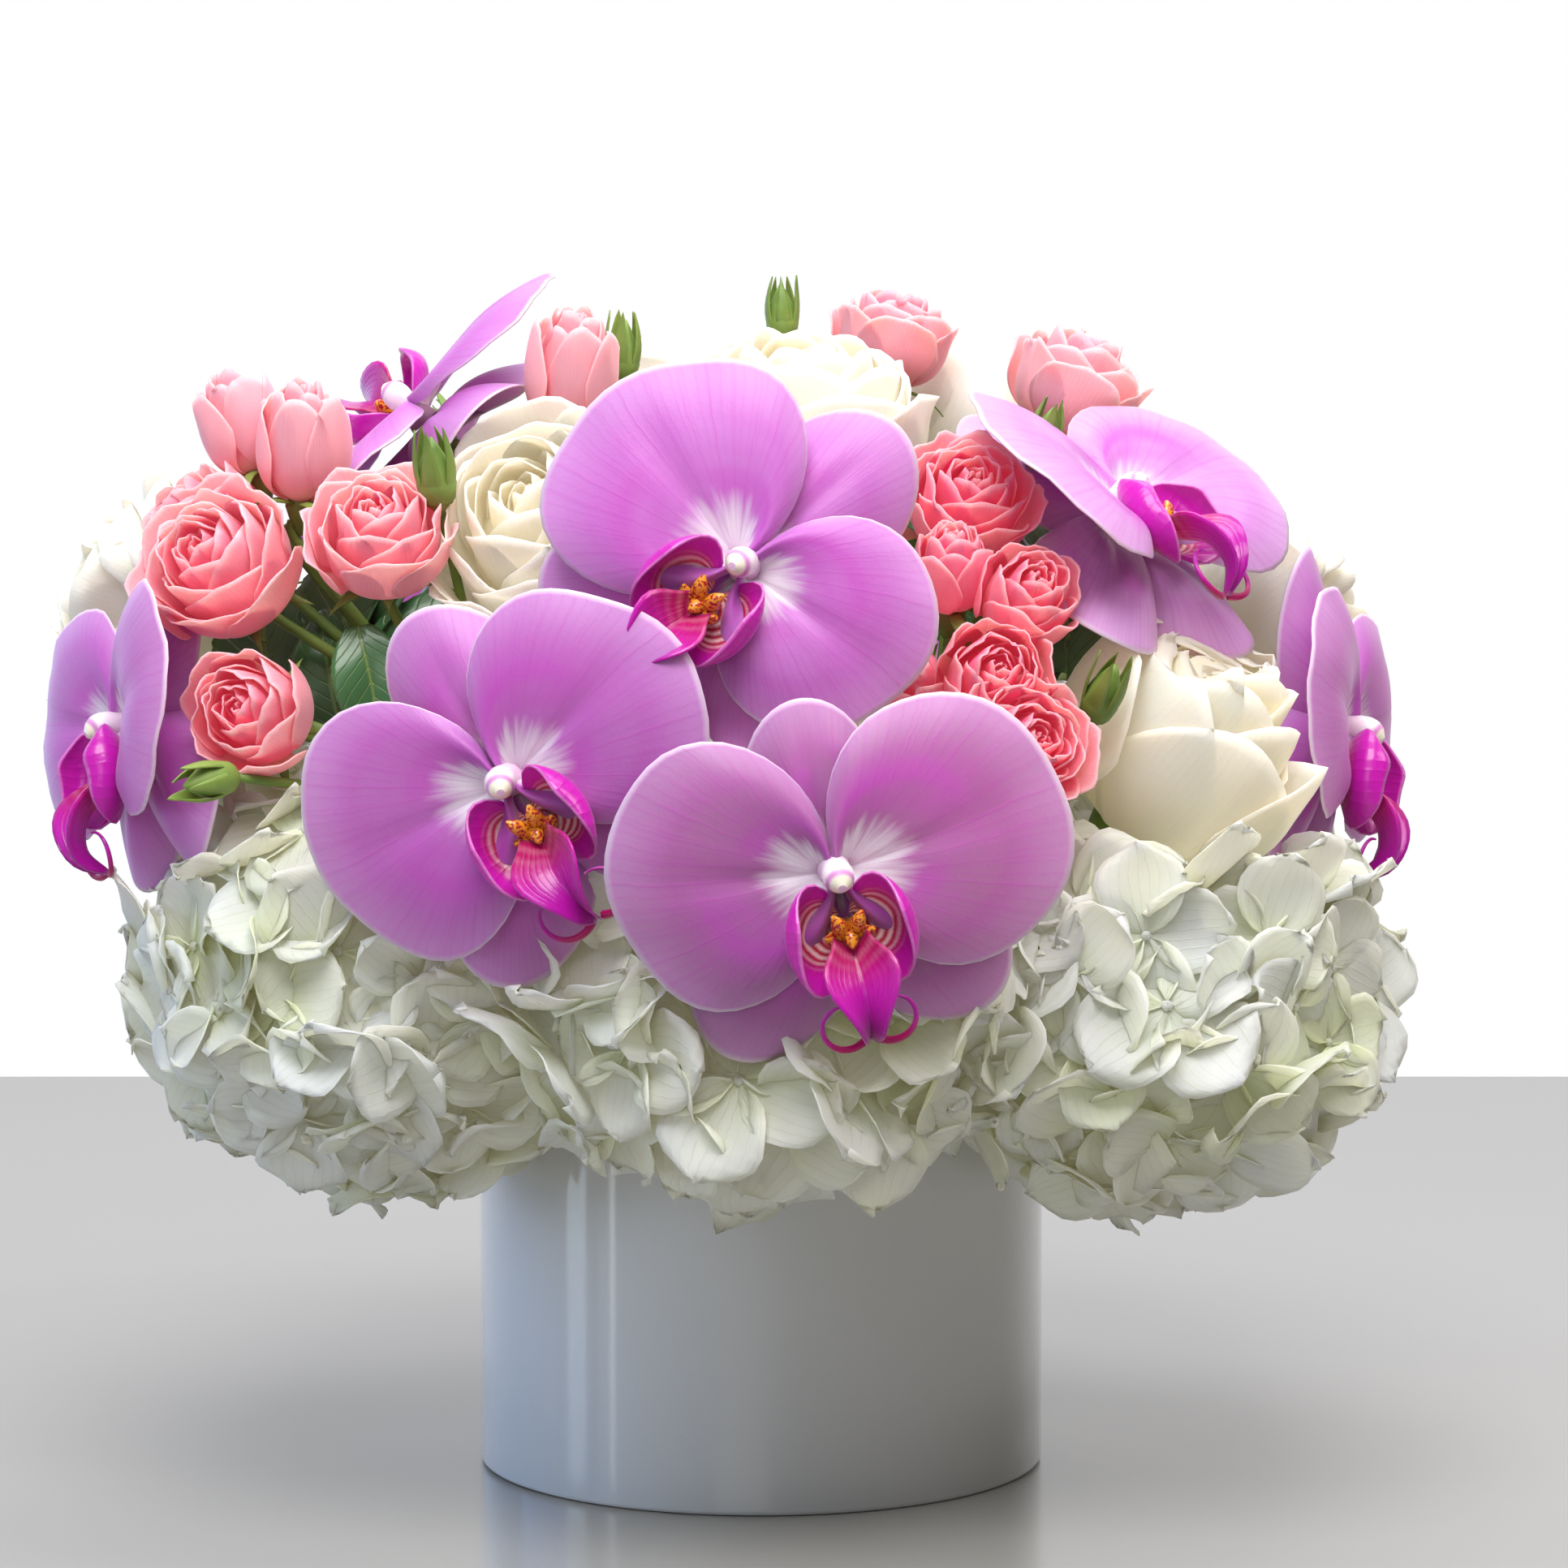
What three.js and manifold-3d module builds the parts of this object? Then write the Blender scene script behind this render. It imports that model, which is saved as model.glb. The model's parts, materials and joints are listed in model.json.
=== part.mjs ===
// A round table centrepiece: a white glazed cylinder vase packed with soaked floral foam, and a dome of
// cut flowers pushed into the foam. White mophead hydrangeas hang over the rim, moth orchids sit on arching
// spikes, and white roses and sprays of small pink roses fill the dome.
// Units are millimetres, +Z is up, and the origin is the middle of the vase's foot on the table.

import * as THREE from "three";
import { mergeVertices } from "three/addons/utils/BufferGeometryUtils.js";
import Module from "manifold-3d";

const wasm = await Module();
wasm.setup();

// ---------------------------------------------------------------- driving dimensions
const VASE_RADIUS = 76;
const VASE_HEIGHT = 127;
const VASE_WALL = 4;
const VASE_FLOOR = 6;
const RIM_ROUND = 1.5;
const FOAM_CLEARANCE = 0.4;
const FOAM_SHOULDER = 146; // where the foam's straight side ends, above the rim
const FOAM_CROWN = 172; // top of the foam's mound

const GAP = 0.35; // air left between two pieces that press on each other
const TOUCH = 0.005; // cubic millimetres that two pieces may still share
const STEM_SIDES = 4;
const ROOTED_STEM = 2.6; // radius of a stem that goes into the foam
const HYDRANGEA_STALK = 3.6;
const BLADE = 0.8; // thickness of petals and sepals

const HYDRANGEA_CORE = 30; // radius of the branching middle of a head
const FLORET_REACH = 54; // from the head's middle to the floret's middle
const FLORET_RADIUS = 26.5;
const FLORETS = 25; // over a whole ball, of which only the open side is filled

const ORCHID_PETAL = 50; // from the middle of the bloom to the edge of a petal
const ORCHID_SEPAL = 49;
const LIP_LOBE = 16;
const LIP_TONGUE = 24;

const PETAL_WAIST = 0.55; // how far up a rose petal its belly is
const LEAF_LENGTH = 46;
const LEAF_HALF_WIDTH = 14;

const COLOURS = {
  vase: 0xdfe3e8,
  foam: 0x3f6b3a,
  hydrangea: 0xe9ecda,
  orchid: 0xc77fd6,
  lip: 0xb0109a,
  spike: 0x7d9a4a,
  white: 0xf3f0e4,
  pink: 0xf08a94,
  green: 0x5f8a3a,
};

// ---------------------------------------------------------------- where each flower is
// at: the middle of the bloom. faces: the way it looks. roll: degrees clockwise seen from in front.
const ORCHID_SPRAYS = [
  {
    name: "front",
    fork: [-8, -72, 196],
    foot: [-3, -22, 120],
    blooms: [
      { at: [-4, -132, 242], faces: [-0.08, -0.98, 0.18], roll: 45, size: 1.0 },
      { at: [-58, -146, 192], faces: [-0.22, -0.97, -0.02], roll: -36, size: 1.0 },
      { at: [18, -168, 172], faces: [0.1, -0.99, -0.04], roll: -12, size: 1.0 },
    ],
  },
  {
    name: "left",
    fork: [-84, -22, 214],
    foot: [-24, -6, 126],
    blooms: [
      { at: [-90, -14, 280], faces: [-0.72, -0.06, 0.69], roll: 78, size: 1.0 },
      { at: [-160, -62, 200], faces: [-0.9, -0.42, 0.05], roll: -10, size: 0.95 },
    ],
  },
  {
    name: "right",
    fork: [84, -22, 206],
    foot: [24, -6, 124],
    blooms: [
      { at: [90, -66, 255], faces: [0.55, -0.37, 0.75], roll: 4, size: 1.0 },
      { at: [150, -36, 198], faces: [0.95, -0.3, -0.02], roll: 10, size: 0.98 },
    ],
  },
  {
    name: "back",
    fork: [-4, 82, 184],
    foot: [-8, 30, 120],
    blooms: [
      { at: [94, 116, 210], faces: [0.6, 0.77, 0.2], roll: 24, size: 1.05 },
      { at: [-88, 120, 206], faces: [-0.58, 0.8, 0.16], roll: -40, size: 1.05 },
    ],
  },
];

// at: the base of the bloom. height: from there to its tip. open: 0 is a bud and 1 is full blown.
const WHITE_ROSES = [
  { at: [10, -36, 258], faces: [0.02, -0.28, 0.96], radius: 36, height: 44, open: 0.8 },
  { at: [-48, -58, 240], faces: [-0.3, -0.76, 0.58], radius: 33, height: 42, open: 0.8 },
  { at: [-146, -2, 223], faces: [-0.88, -0.2, 0.43], radius: 35, height: 42, open: 1.0 },
  { at: [93, -62, 180], faces: [0.56, -0.45, 0.69], radius: 38, height: 60, open: 0.4 },
  { at: [125, 8, 214], faces: [0.86, 0.12, 0.5], radius: 36, height: 42, open: 1.0 },
  { at: [-22, 26, 263], faces: [-0.22, 0.3, 0.93], radius: 33, height: 40, open: 0.9 },
  { at: [52, 38, 259], faces: [0.36, 0.42, 0.83], radius: 33, height: 40, open: 0.8 },
  { at: [4, 104, 226], faces: [0.04, 0.84, 0.54], radius: 37, height: 44, open: 0.9 },
];

// clusters: blooms that press on each other and hold together.
const PINK_SPRAYS = [
  {
    name: "left",
    fork: [-84, -48, 204],
    foot: [-24, -18, 128],
    clusters: [
      [
        { at: [-130, -61, 235], faces: [-0.4, -0.78, 0.48], radius: 22, height: 30, open: 1 },
        { at: [-133, -47, 243], faces: [-0.75, -0.3, 0.58], radius: 18, height: 27, open: 0.8 },
      ],
      [{ at: [-94, -73, 240], faces: [-0.06, -0.7, 0.71], radius: 19, height: 27, open: 1 }],
      [
        { at: [-117, -56, 259], faces: [0.02, -0.2, 0.98], radius: 13, height: 31, open: 0.2 },
        { at: [-130, -47, 266], faces: [-0.3, 0.0, 0.95], radius: 12, height: 27, open: 0.3 },
      ],
      [{ at: [-122, -80, 203], faces: [-0.3, -0.92, 0.24], radius: 17, height: 27, open: 0.7 }],
    ],
    buds: [
      { at: [-80, -82, 258], faces: [-0.1, -0.25, 0.96], length: 17 },
      { at: [-130, -104, 191], faces: [-0.6, -0.78, -0.1], length: 16 },
    ],
    leaves: [{ at: [-100, -80, 224], faces: [0.1, -0.96, 0.1], roll: 168, size: 0.7 }],
  },
  {
    name: "top",
    fork: [8, 0, 226],
    foot: [2, 0, 140],
    clusters: [
      [{ at: [-50, -46, 278], faces: [0.08, -0.22, 0.97], radius: 13, height: 31, open: 0.25 }],
      [{ at: [78, -4, 277], faces: [0.42, -0.12, 0.9], radius: 19, height: 28, open: 0.9 }],
      [{ at: [33, 12, 290], faces: [0.2, -0.06, 0.97], radius: 17, height: 25, open: 0.9 }],
    ],
    buds: [
      { at: [-37, -20, 290], faces: [0.1, -0.1, 0.99], length: 16 },
      { at: [6, 16, 302], faces: [-0.05, 0.0, 1.0], length: 15 },
    ],
    leaves: [],
  },
  {
    name: "right",
    fork: [44, -66, 192],
    foot: [14, -24, 124],
    clusters: [
      [
        { at: [51, -75, 250], faces: [0.12, -0.74, 0.67], radius: 17.5, height: 25, open: 1 },
        { at: [47, -99, 233], faces: [0.02, -0.5, 0.87], radius: 11, height: 22, open: 0.4 },
      ],
      [
        { at: [62, -97, 229], faces: [0.3, -0.8, 0.52], radius: 13.5, height: 24, open: 0.7 },
        { at: [56, -105, 211], faces: [0.12, -0.93, 0.34], radius: 15, height: 26, open: 0.6 },
        { at: [38, -103, 209], faces: [-0.2, -0.86, 0.47], radius: 11, height: 23, open: 0.3 },
        { at: [60, -113, 196], faces: [0.34, -0.9, 0.26], radius: 16.5, height: 26, open: 1 },
      ],
    ],
    buds: [
      { at: [82, -108, 206], faces: [0.3, -0.5, 0.81], length: 16 },
      { at: [70, -62, 268], faces: [0.3, -0.2, 0.93], length: 15 },
    ],
    leaves: [{ at: [70, -66, 232], faces: [0.5, -0.5, 0.7], roll: -40, size: 0.9 }],
  },
  {
    name: "back",
    fork: [0, 56, 214],
    foot: [-2, 12, 132],
    clusters: [
      [
        { at: [49, 80, 247], faces: [0.28, 0.64, 0.72], radius: 21, height: 28, open: 1 },
        { at: [16, 82, 256], faces: [0.14, 0.5, 0.86], radius: 20, height: 28, open: 0.9 },
        { at: [-18, 82, 256], faces: [-0.1, 0.5, 0.86], radius: 20, height: 28, open: 0.9 },
        { at: [-51, 76, 249], faces: [-0.26, 0.58, 0.77], radius: 21, height: 28, open: 1 },
      ],
    ],
    buds: [
      { at: [2, 66, 284], faces: [0.1, 0.3, 0.95], length: 16 },
      { at: [-84, 50, 272], faces: [-0.5, 0.4, 0.77], length: 16 },
    ],
    leaves: [
      { at: [30, 80, 208], faces: [0.25, 0.75, 0.6], roll: 140, size: 1.15 },
      { at: [-30, 80, 208], faces: [-0.25, 0.75, 0.6], roll: -150, size: 1.15 },
    ],
  },
];

// turn: degrees round the vase from its front, towards +X. A head that others press on is bare above crown,
// and bare on its upper side where it faces out less than inner.
const HYDRANGEA_HEADS = [
  { turn: 0, reach: 107, height: 144, crown: 0.7 },
  { turn: 56, reach: 117, height: 133, crown: 0.55 },
  { turn: 120, reach: 116, height: 137, crown: 1, inner: 0 },
  { turn: 180, reach: 116, height: 137, crown: 1, inner: -0.2 },
  { turn: 240, reach: 116, height: 137, crown: 1, inner: 0 },
  { turn: 304, reach: 117, height: 137, crown: 0.9 },
];

// ---------------------------------------------------------------- small helpers
const vector = (p) => new THREE.Vector3(...p);
const mix = (a, b, t) => a + (b - a) * t;
const degrees = THREE.MathUtils.degToRad;

function seeded(seed) {
  let state = seed;
  return () => {
    state = (state * 1664525 + 1013904223) % 4294967296;
    return state / 4294967296;
  };
}

// The frame of a flower: +Z is the way it faces, +Y its own top, turned clockwise by roll degrees.
function flowerFrame({ at, faces, roll = 0 }) {
  const z = vector(faces).normalize();
  const upright = new THREE.Vector3(0, 0, 1).addScaledVector(z, -z.z).normalize();
  const right = new THREE.Vector3().crossVectors(upright, z);
  const turn = degrees(roll);
  const y = upright.multiplyScalar(Math.cos(turn)).addScaledVector(right, Math.sin(turn));
  const x = new THREE.Vector3().crossVectors(y, z);
  return new THREE.Matrix4().makeBasis(x, y, z).setPosition(vector(at));
}

const behindBloom = (bloom, distance) =>
  vector(bloom.at).addScaledVector(vector(bloom.faces).normalize(), -distance).toArray();

// Where a cut stem ends in the foam: on the line to the vase's middle, well below the foam's surface.
function footOf(point) {
  const [x, y] = point;
  return [x * 0.42, y * 0.42, 136];
}

// ---------------------------------------------------------------- solids
function solidFromIndexed(positions, triangles) {
  const made = new wasm.Manifold(
    new wasm.Mesh({
      numProp: 3,
      vertProperties: new Float32Array(positions),
      triVerts: new Uint32Array(triangles),
    }),
  );
  if (made.volume() > 0) return made;
  const turned = [];
  for (let i = 0; i < triangles.length; i += 3) {
    turned.push(triangles[i], triangles[i + 2], triangles[i + 1]);
  }
  return new wasm.Manifold(
    new wasm.Mesh({
      numProp: 3,
      vertProperties: new Float32Array(positions),
      triVerts: new Uint32Array(turned),
    }),
  );
}

function solidFromGeometry(geometry) {
  const bare = geometry.clone();
  bare.deleteAttribute("normal");
  bare.deleteAttribute("uv");
  const merged = mergeVertices(bare, 1e-4);
  return solidFromIndexed(merged.attributes.position.array, merged.index.array);
}

const join = (parts) => parts.reduce((sum, part) => sum.add(part));
const moved = (solid, matrix) => solid.transform(matrix.toArray());

// A thin curved blade. surface(u, v) gives its middle face, u from -1 to 1 across and v from 0 at the root.
function blade(surface, columns, rows, thickness = BLADE, fine = false) {
  const step = 0.02;
  const faceNormal = (u, v) => {
    const clamped = Math.min(Math.max(v, 2 * step), 1);
    const sideways = surface(u + step, clamped).sub(surface(u - step, clamped));
    const along = surface(u, clamped).sub(surface(u, clamped - step));
    return sideways.cross(along).normalize();
  };
  const points = [];
  const across = Array.from({ length: columns + 1 }, (_, i) => -1 + (2 * i) / columns);
  const grid = rows.map((v, row) => {
    const places = row === 0 ? [0] : across;
    return places.map((u) => points.push([surface(u, v), faceNormal(u, v)]) - 1);
  });
  const upper = [];
  for (let i = 0; i < columns; i++) {
    upper.push([grid[0][0], grid[1][i + 1], grid[1][i]]);
  }
  for (let row = 1; row < rows.length - 1; row++) {
    for (let i = 0; i < columns; i++) {
      const [a, b, c, d] = [grid[row][i], grid[row][i + 1], grid[row + 1][i + 1], grid[row + 1][i]];
      upper.push([a, b, c], [a, c, d]);
    }
  }
  const rightEdge = grid.slice(1).map((row) => row[columns]);
  const leftEdge = grid.slice(1).map((row) => row[0]);
  const tip = grid[rows.length - 1].slice(1, columns).reverse();
  const rim = [grid[0][0], ...rightEdge, ...tip, ...leftEdge.reverse()];
  return thicken(points, upper, rim, thickness, fine);
}

// A lobed sheet with a fine rim that thickens inwards. outline holds [angle, radius, height] in order round
// the axis, and each stride-th point is a notch. over and under end its two faces: each runs to an apex on
// the axis, by way of a neck if one is given. belly is a ring part of the way in.
function lobedSheet(outline, stride, over, under, belly) {
  const around = ([angle, radius, height]) => [radius * Math.cos(angle), radius * Math.sin(angle), height];
  const count = outline.length;
  const positions = [];
  const triangles = [];
  const addRing = (places) => places.map((place) => positions.push(...around(place)) / 3 - 1);
  const rim = addRing(outline);
  for (const [face, side] of [[over, 1], [under, -1]]) {
    const add = (a, b, c) => triangles.push(...(side > 0 ? [a, b, c] : [c, b, a]));
    let ring = rim;
    if (belly) {
      const inner = addRing(
        outline.map(([angle, radius, height]) => [
          angle,
          radius * belly.scale,
          height * belly.scale + belly.lift + (side * belly.thickness) / 2,
        ]),
      );
      ring.forEach((at, i) => {
        const next = (i + 1) % count;
        add(at, ring[next], inner[next]);
        add(at, inner[next], inner[i]);
      });
      ring = inner;
    }
    if (face.neck) {
      const notches = outline.filter((_, i) => i % stride === 0);
      const neck = addRing(notches.map(([angle]) => [angle, face.neck, face.neckHeight]));
      ring.forEach((at, i) => {
        const here = neck[Math.floor(i / stride)];
        const after = neck[(Math.floor(i / stride) + 1) % neck.length];
        const middle = Math.ceil(stride / 2) - 1;
        add(at, ring[(i + 1) % count], i % stride <= middle ? here : after);
        if (i % stride === middle) add(ring[(i + 1) % count], after, here);
      });
      ring = neck;
    }
    const apex = addRing([[0, 0, face.apex]])[0];
    ring.forEach((at, i) => add(at, ring[(i + 1) % ring.length], apex));
  }
  return solidFromIndexed(positions, triangles);
}

// Gives a sheet of triangles two faces. They meet along its rim in a fine edge, or have a wall between them.
function thicken(points, upper, rim, thickness, fine) {
  const positions = [];
  const above = points.map(([place, normal], i) => {
    const lift = fine && rim.includes(i) ? 0 : thickness / 2;
    return positions.push(...place.clone().addScaledVector(normal, lift).toArray()) / 3 - 1;
  });
  const below = points.map(([place, normal], i) => {
    if (fine && rim.includes(i)) return above[i];
    return positions.push(...place.clone().addScaledVector(normal, -thickness / 2).toArray()) / 3 - 1;
  });
  const triangles = [];
  for (const [a, b, c] of upper) {
    triangles.push(above[a], above[b], above[c], below[a], below[c], below[b]);
  }
  if (!fine) {
    const [first, second] = rim;
    const forwards = upper.some((t) => t.some((p, k) => p === first && t[(k + 1) % 3] === second));
    rim.forEach((from, i) => {
      const to = rim[(i + 1) % rim.length];
      const [a, b] = forwards ? [from, to] : [to, from];
      triangles.push(above[b], above[a], below[a], above[b], below[a], below[b]);
    });
  }
  return solidFromIndexed(positions, triangles);
}

const stemCurve = (points) =>
  points.length === 2
    ? new THREE.LineCurve3(vector(points[0]), vector(points[1]))
    : new THREE.CatmullRomCurve3(points.map(vector));

function stem(points, radius, steps = 3, sides = STEM_SIDES) {
  const outline = new THREE.Shape(
    Array.from({ length: sides }, (_, i) => {
      const angle = (2 * Math.PI * i) / sides;
      return new THREE.Vector2(radius * Math.cos(angle), radius * Math.sin(angle));
    }),
  );
  const extrusion = {
    steps: points.length === 2 ? 1 : steps,
    extrudePath: stemCurve(points),
    bevelEnabled: false,
  };
  return solidFromGeometry(new THREE.ExtrudeGeometry(outline, extrusion));
}

// A solid of revolution about +Z from [radius, height] pairs, closed on the axis at both ends.
function turned(profile, segments) {
  const outline = profile.map(([radius, height]) => new THREE.Vector2(radius, height));
  const lathe = new THREE.LatheGeometry(outline, segments).rotateX(Math.PI / 2);
  return solidFromGeometry(lathe);
}

// Every vertex pushed outwards, so that cutting with it leaves a gap.
function grown(solid, distance) {
  const mesh = solid.getMesh();
  const normals = Array.from({ length: mesh.numVert }, () => new THREE.Vector3());
  const corner = (i) => new THREE.Vector3(...mesh.vertProperties.slice(i * 3, i * 3 + 3));
  const faces = [];
  for (let t = 0; t < mesh.triVerts.length; t += 3) {
    const ids = [...mesh.triVerts.slice(t, t + 3)];
    const [a, b, c] = ids.map(corner);
    const face = b.clone().sub(a).cross(c.clone().sub(a)).normalize();
    ids.forEach((id, k) => {
      const here = [a, b, c][k];
      const one = [a, b, c][(k + 1) % 3].clone().sub(here).normalize();
      const two = [a, b, c][(k + 2) % 3].clone().sub(here).normalize();
      normals[id].addScaledVector(face, Math.acos(THREE.MathUtils.clamp(one.dot(two), -1, 1)));
    });
    faces.push([ids, face]);
  }
  normals.forEach((normal) => normal.normalize());
  const facing = new Array(mesh.numVert).fill(1);
  for (const [ids, face] of faces) {
    for (const id of ids) facing[id] = Math.min(facing[id], face.dot(normals[id]));
  }
  const positions = [];
  normals.forEach((normal, id) => {
    const reach = distance / Math.max(facing[id], 0.35);
    positions.push(...corner(id).addScaledVector(normal, reach).toArray());
  });
  return solidFromIndexed(positions, [...mesh.triVerts]);
}

// ---------------------------------------------------------------- vase and foam
function vaseSolid() {
  const inner = VASE_RADIUS - VASE_WALL;
  return turned(
    [
      [0, 0],
      [VASE_RADIUS - RIM_ROUND, 0],
      [VASE_RADIUS, RIM_ROUND],
      [VASE_RADIUS, VASE_HEIGHT - RIM_ROUND],
      [VASE_RADIUS - RIM_ROUND, VASE_HEIGHT],
      [inner, VASE_HEIGHT],
      [inner, VASE_FLOOR],
      [0, VASE_FLOOR],
    ],
    32,
  );
}

function foamSolid() {
  const radius = VASE_RADIUS - VASE_WALL - FOAM_CLEARANCE;
  return turned(
    [
      [0, VASE_FLOOR + FOAM_CLEARANCE],
      [radius, VASE_FLOOR + FOAM_CLEARANCE],
      [radius, VASE_HEIGHT],
      [radius * 0.93, FOAM_SHOULDER],
      [radius * 0.62, mix(FOAM_SHOULDER, FOAM_CROWN, 0.72)],
      [0, FOAM_CROWN],
    ],
    16,
  );
}

// Each stem stands in a plain straight hole, a little wider and deeper than itself.
function foamHoles() {
  const rooted = [
    ...ORCHID_SPRAYS.map(({ fork, foot }) => [[fork, foot], ROOTED_STEM]),
    ...PINK_SPRAYS.map(({ fork, foot }) => [[fork, foot], ROOTED_STEM]),
    ...WHITE_ROSES.map((bloom) => [whiteRosePath(bloom), ROOTED_STEM]),
    ...HYDRANGEA_HEADS.map((head) => [hydrangeaPath(head), HYDRANGEA_STALK]),
  ];
  return rooted.map(([path, radius]) => {
    const foot = vector(path[path.length - 1]);
    const above = stemCurve(path).getPointAt(path.length === 2 ? 0 : 0.5);
    const down = foot.clone().sub(above).normalize();
    return stem([above.toArray(), foot.addScaledVector(down, 1).toArray()], radius * 1.85, 1, 4);
  });
}

// ---------------------------------------------------------------- hydrangeas
function hydrangeaPath({ turn, reach, height }) {
  const angle = degrees(turn - 90);
  const at = (radius, z) => [radius * Math.cos(angle), radius * Math.sin(angle), z];
  return [at(reach, height), at(30, 150)];
}

function hydrangeaHead({ turn, reach, height, crown, inner = 0.45 }, index) {
  const angle = degrees(turn - 90);
  const outward = new THREE.Vector3(Math.cos(angle), Math.sin(angle), 0);
  const middle = outward.clone().multiplyScalar(reach).setZ(height);
  const core = solidFromGeometry(new THREE.IcosahedronGeometry(HYDRANGEA_CORE, 0)).translate(
    ...middle.toArray(),
  );
  const chance = seeded(11 + index);
  const florets = [];
  for (let i = 0; i < FLORETS; i++) {
    const rise = 1 - (2 * (i + 0.5)) / FLORETS;
    const swing = i * 2.39996 + index;
    const spread = Math.sqrt(1 - rise * rise);
    const away = new THREE.Vector3(spread * Math.cos(swing), spread * Math.sin(swing), rise);
    const place = middle.clone().addScaledVector(away, FLORET_REACH + 3 * ((i % 3) - 1));
    const out = away.dot(outward);
    const hidden = out < -0.2 || (rise > 0.35 && out < inner) || rise > crown;
    const fromAxis = Math.hypot(place.x, place.y);
    const shy = place.z < VASE_HEIGHT + 10 ? Math.max(VASE_RADIUS + 12 - fromAxis, 0) : 0;
    if (hidden || shy > 22) continue;
    place.addScaledVector(outward, shy);
    const frame = flowerFrame({ at: place.toArray(), faces: away.toArray(), roll: 90 * chance() });
    florets.push(moved(floret(chance), frame));
  }
  const stalk = stem(hydrangeaPath({ turn, reach, height }), HYDRANGEA_STALK, 1);
  return join([core, stalk, ...florets]);
}

// Four broad rounded sepals round a sunken middle, on a short stalk that reaches the core.
function floret(chance) {
  const outline = [];
  for (let lobe = 0; lobe < 4; lobe++) {
    const middle = (lobe * Math.PI) / 2;
    const size = FLORET_RADIUS * mix(0.88, 1.05, chance());
    const lift = mix(-2.5, 2.5, chance());
    outline.push([middle - Math.PI / 4, size * 0.52, 0.5]);
    outline.push([middle - 0.4, size * 0.92, lift - 0.5], [middle + 0.33, size, lift + 1]);
  }
  const stalk = { neck: 2.6, neckHeight: -3, apex: HYDRANGEA_CORE * 0.5 - FLORET_REACH };
  return lobedSheet(outline, 3, { apex: -1 }, stalk);
}

// ---------------------------------------------------------------- orchids
// A narrow leaf-like shape along one direction in the bloom's plane.
function leafSurface({ root, aim, reach, half, dome, back }) {
  return (u, v) => {
    const wide = half * Math.pow(Math.sin(Math.PI * (0.1 + 0.88 * v)), 0.62) * (v < 0.01 ? 0.1 : 1);
    const height = dome * Math.sin(Math.PI * v) * (1 - 0.5 * u * u) - back * v * v;
    const along = reach * v * (1 - 0.06 * u * u * v);
    return new THREE.Vector3(
      root[0] + along * Math.cos(aim) - u * wide * Math.sin(aim),
      root[1] + along * Math.sin(aim) + u * wide * Math.cos(aim),
      root[2] + height,
    );
  };
}

// Two broad fans side by side, with the column standing between them.
function orchidPetals() {
  const outline = [];
  const fan = [[-52, 0.6, 0], [-32, 0.92, -3], [8, 1, -4], [44, 0.96, -3], [66, 0.66, 0]];
  const mirrored = fan.map(([angle, reach, height]) => [180 - angle, reach, height]).reverse();
  for (const [notch, points] of [[-90, fan], [90, mirrored]]) {
    outline.push([degrees(notch), 5, 0.5]);
    points.forEach(([angle, reach, height]) => outline.push([degrees(angle), reach * ORCHID_PETAL, height]));
  }
  const column = { neck: 3.4, neckHeight: 2, apex: 13 };
  const stalk = { neck: 3, neckHeight: -0.8, apex: -7 };
  return lobedSheet(outline, 3, column, stalk, { scale: 0.55, lift: 4, thickness: 1.2 });
}

// Three narrower tepals behind the petals: one up and two down and outwards.
function orchidSepals() {
  const outline = [];
  for (const [aim, tip] of [[90, -1], [228, -6], [312, -6]]) {
    const half = degrees(19);
    const middle = degrees(aim);
    outline.push([middle - degrees(64), 6, -3.5], [middle - half, ORCHID_SEPAL * 0.72, tip * 0.6 - 3]);
    outline.push([middle, ORCHID_SEPAL, tip - 3], [middle + half, ORCHID_SEPAL * 0.72, tip * 0.6 - 3]);
  }
  return lobedSheet(outline, 4, { apex: -3 }, { neck: 4, neckHeight: -4.6, apex: -9 });
}

function orchidTepals(bloom) {
  const whole = join([orchidPetals(), orchidSepals()]);
  return moved(whole, flowerFrame(bloom).scale(new THREE.Vector3().setScalar(bloom.size)));
}

// Two lobes that rise at the sides, a tongue that curves forward below them and the callus between.
function orchidLip(bloom) {
  const outline = [];
  const lobes = [
    { aim: 25, notch: -33, reach: LIP_LOBE, rise: 13, half: 34 },
    { aim: 155, notch: 93, reach: LIP_LOBE, rise: 13, half: 34 },
    { aim: 270, notch: 208, reach: LIP_TONGUE, rise: 9, half: 20 },
  ];
  for (const { aim, notch, reach, rise, half } of lobes) {
    outline.push([degrees(notch), 4.5, 1], [degrees(aim - half), reach * 0.86, rise * 0.7]);
    outline.push([degrees(aim), reach, rise], [degrees(aim + half), reach * 0.86, rise * 0.7]);
  }
  const body = lobedSheet(
    outline,
    4,
    { neck: 3.2, neckHeight: 2.5, apex: 7 },
    { neck: 3, neckHeight: -0.5, apex: -3.5 },
  );
  const tendrils = [1, -1].map((side) =>
    stem(
      [
        [side * 1.5, -LIP_TONGUE * 0.86, 7.6],
        [side * 6, -LIP_TONGUE - 5, 12],
        [side * 11, -LIP_TONGUE + 2, 17],
      ],
      0.9,
      2,
      3,
    ),
  );
  const whole = join([body, ...tendrils]).translate(0, -9.5, 3.5);
  return moved(whole, flowerFrame(bloom).scale(new THREE.Vector3().setScalar(bloom.size)));
}

function orchidSpike({ fork, foot, blooms }) {
  const parts = [stem([fork, foot], ROOTED_STEM, 1)];
  for (const bloom of blooms) {
    const path = [fork, behindBloom(bloom, 24 * bloom.size), behindBloom(bloom, 9.5 * bloom.size)];
    parts.push(stem(path, 1.7, 3, 4));
  }
  return join(parts);
}

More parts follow.
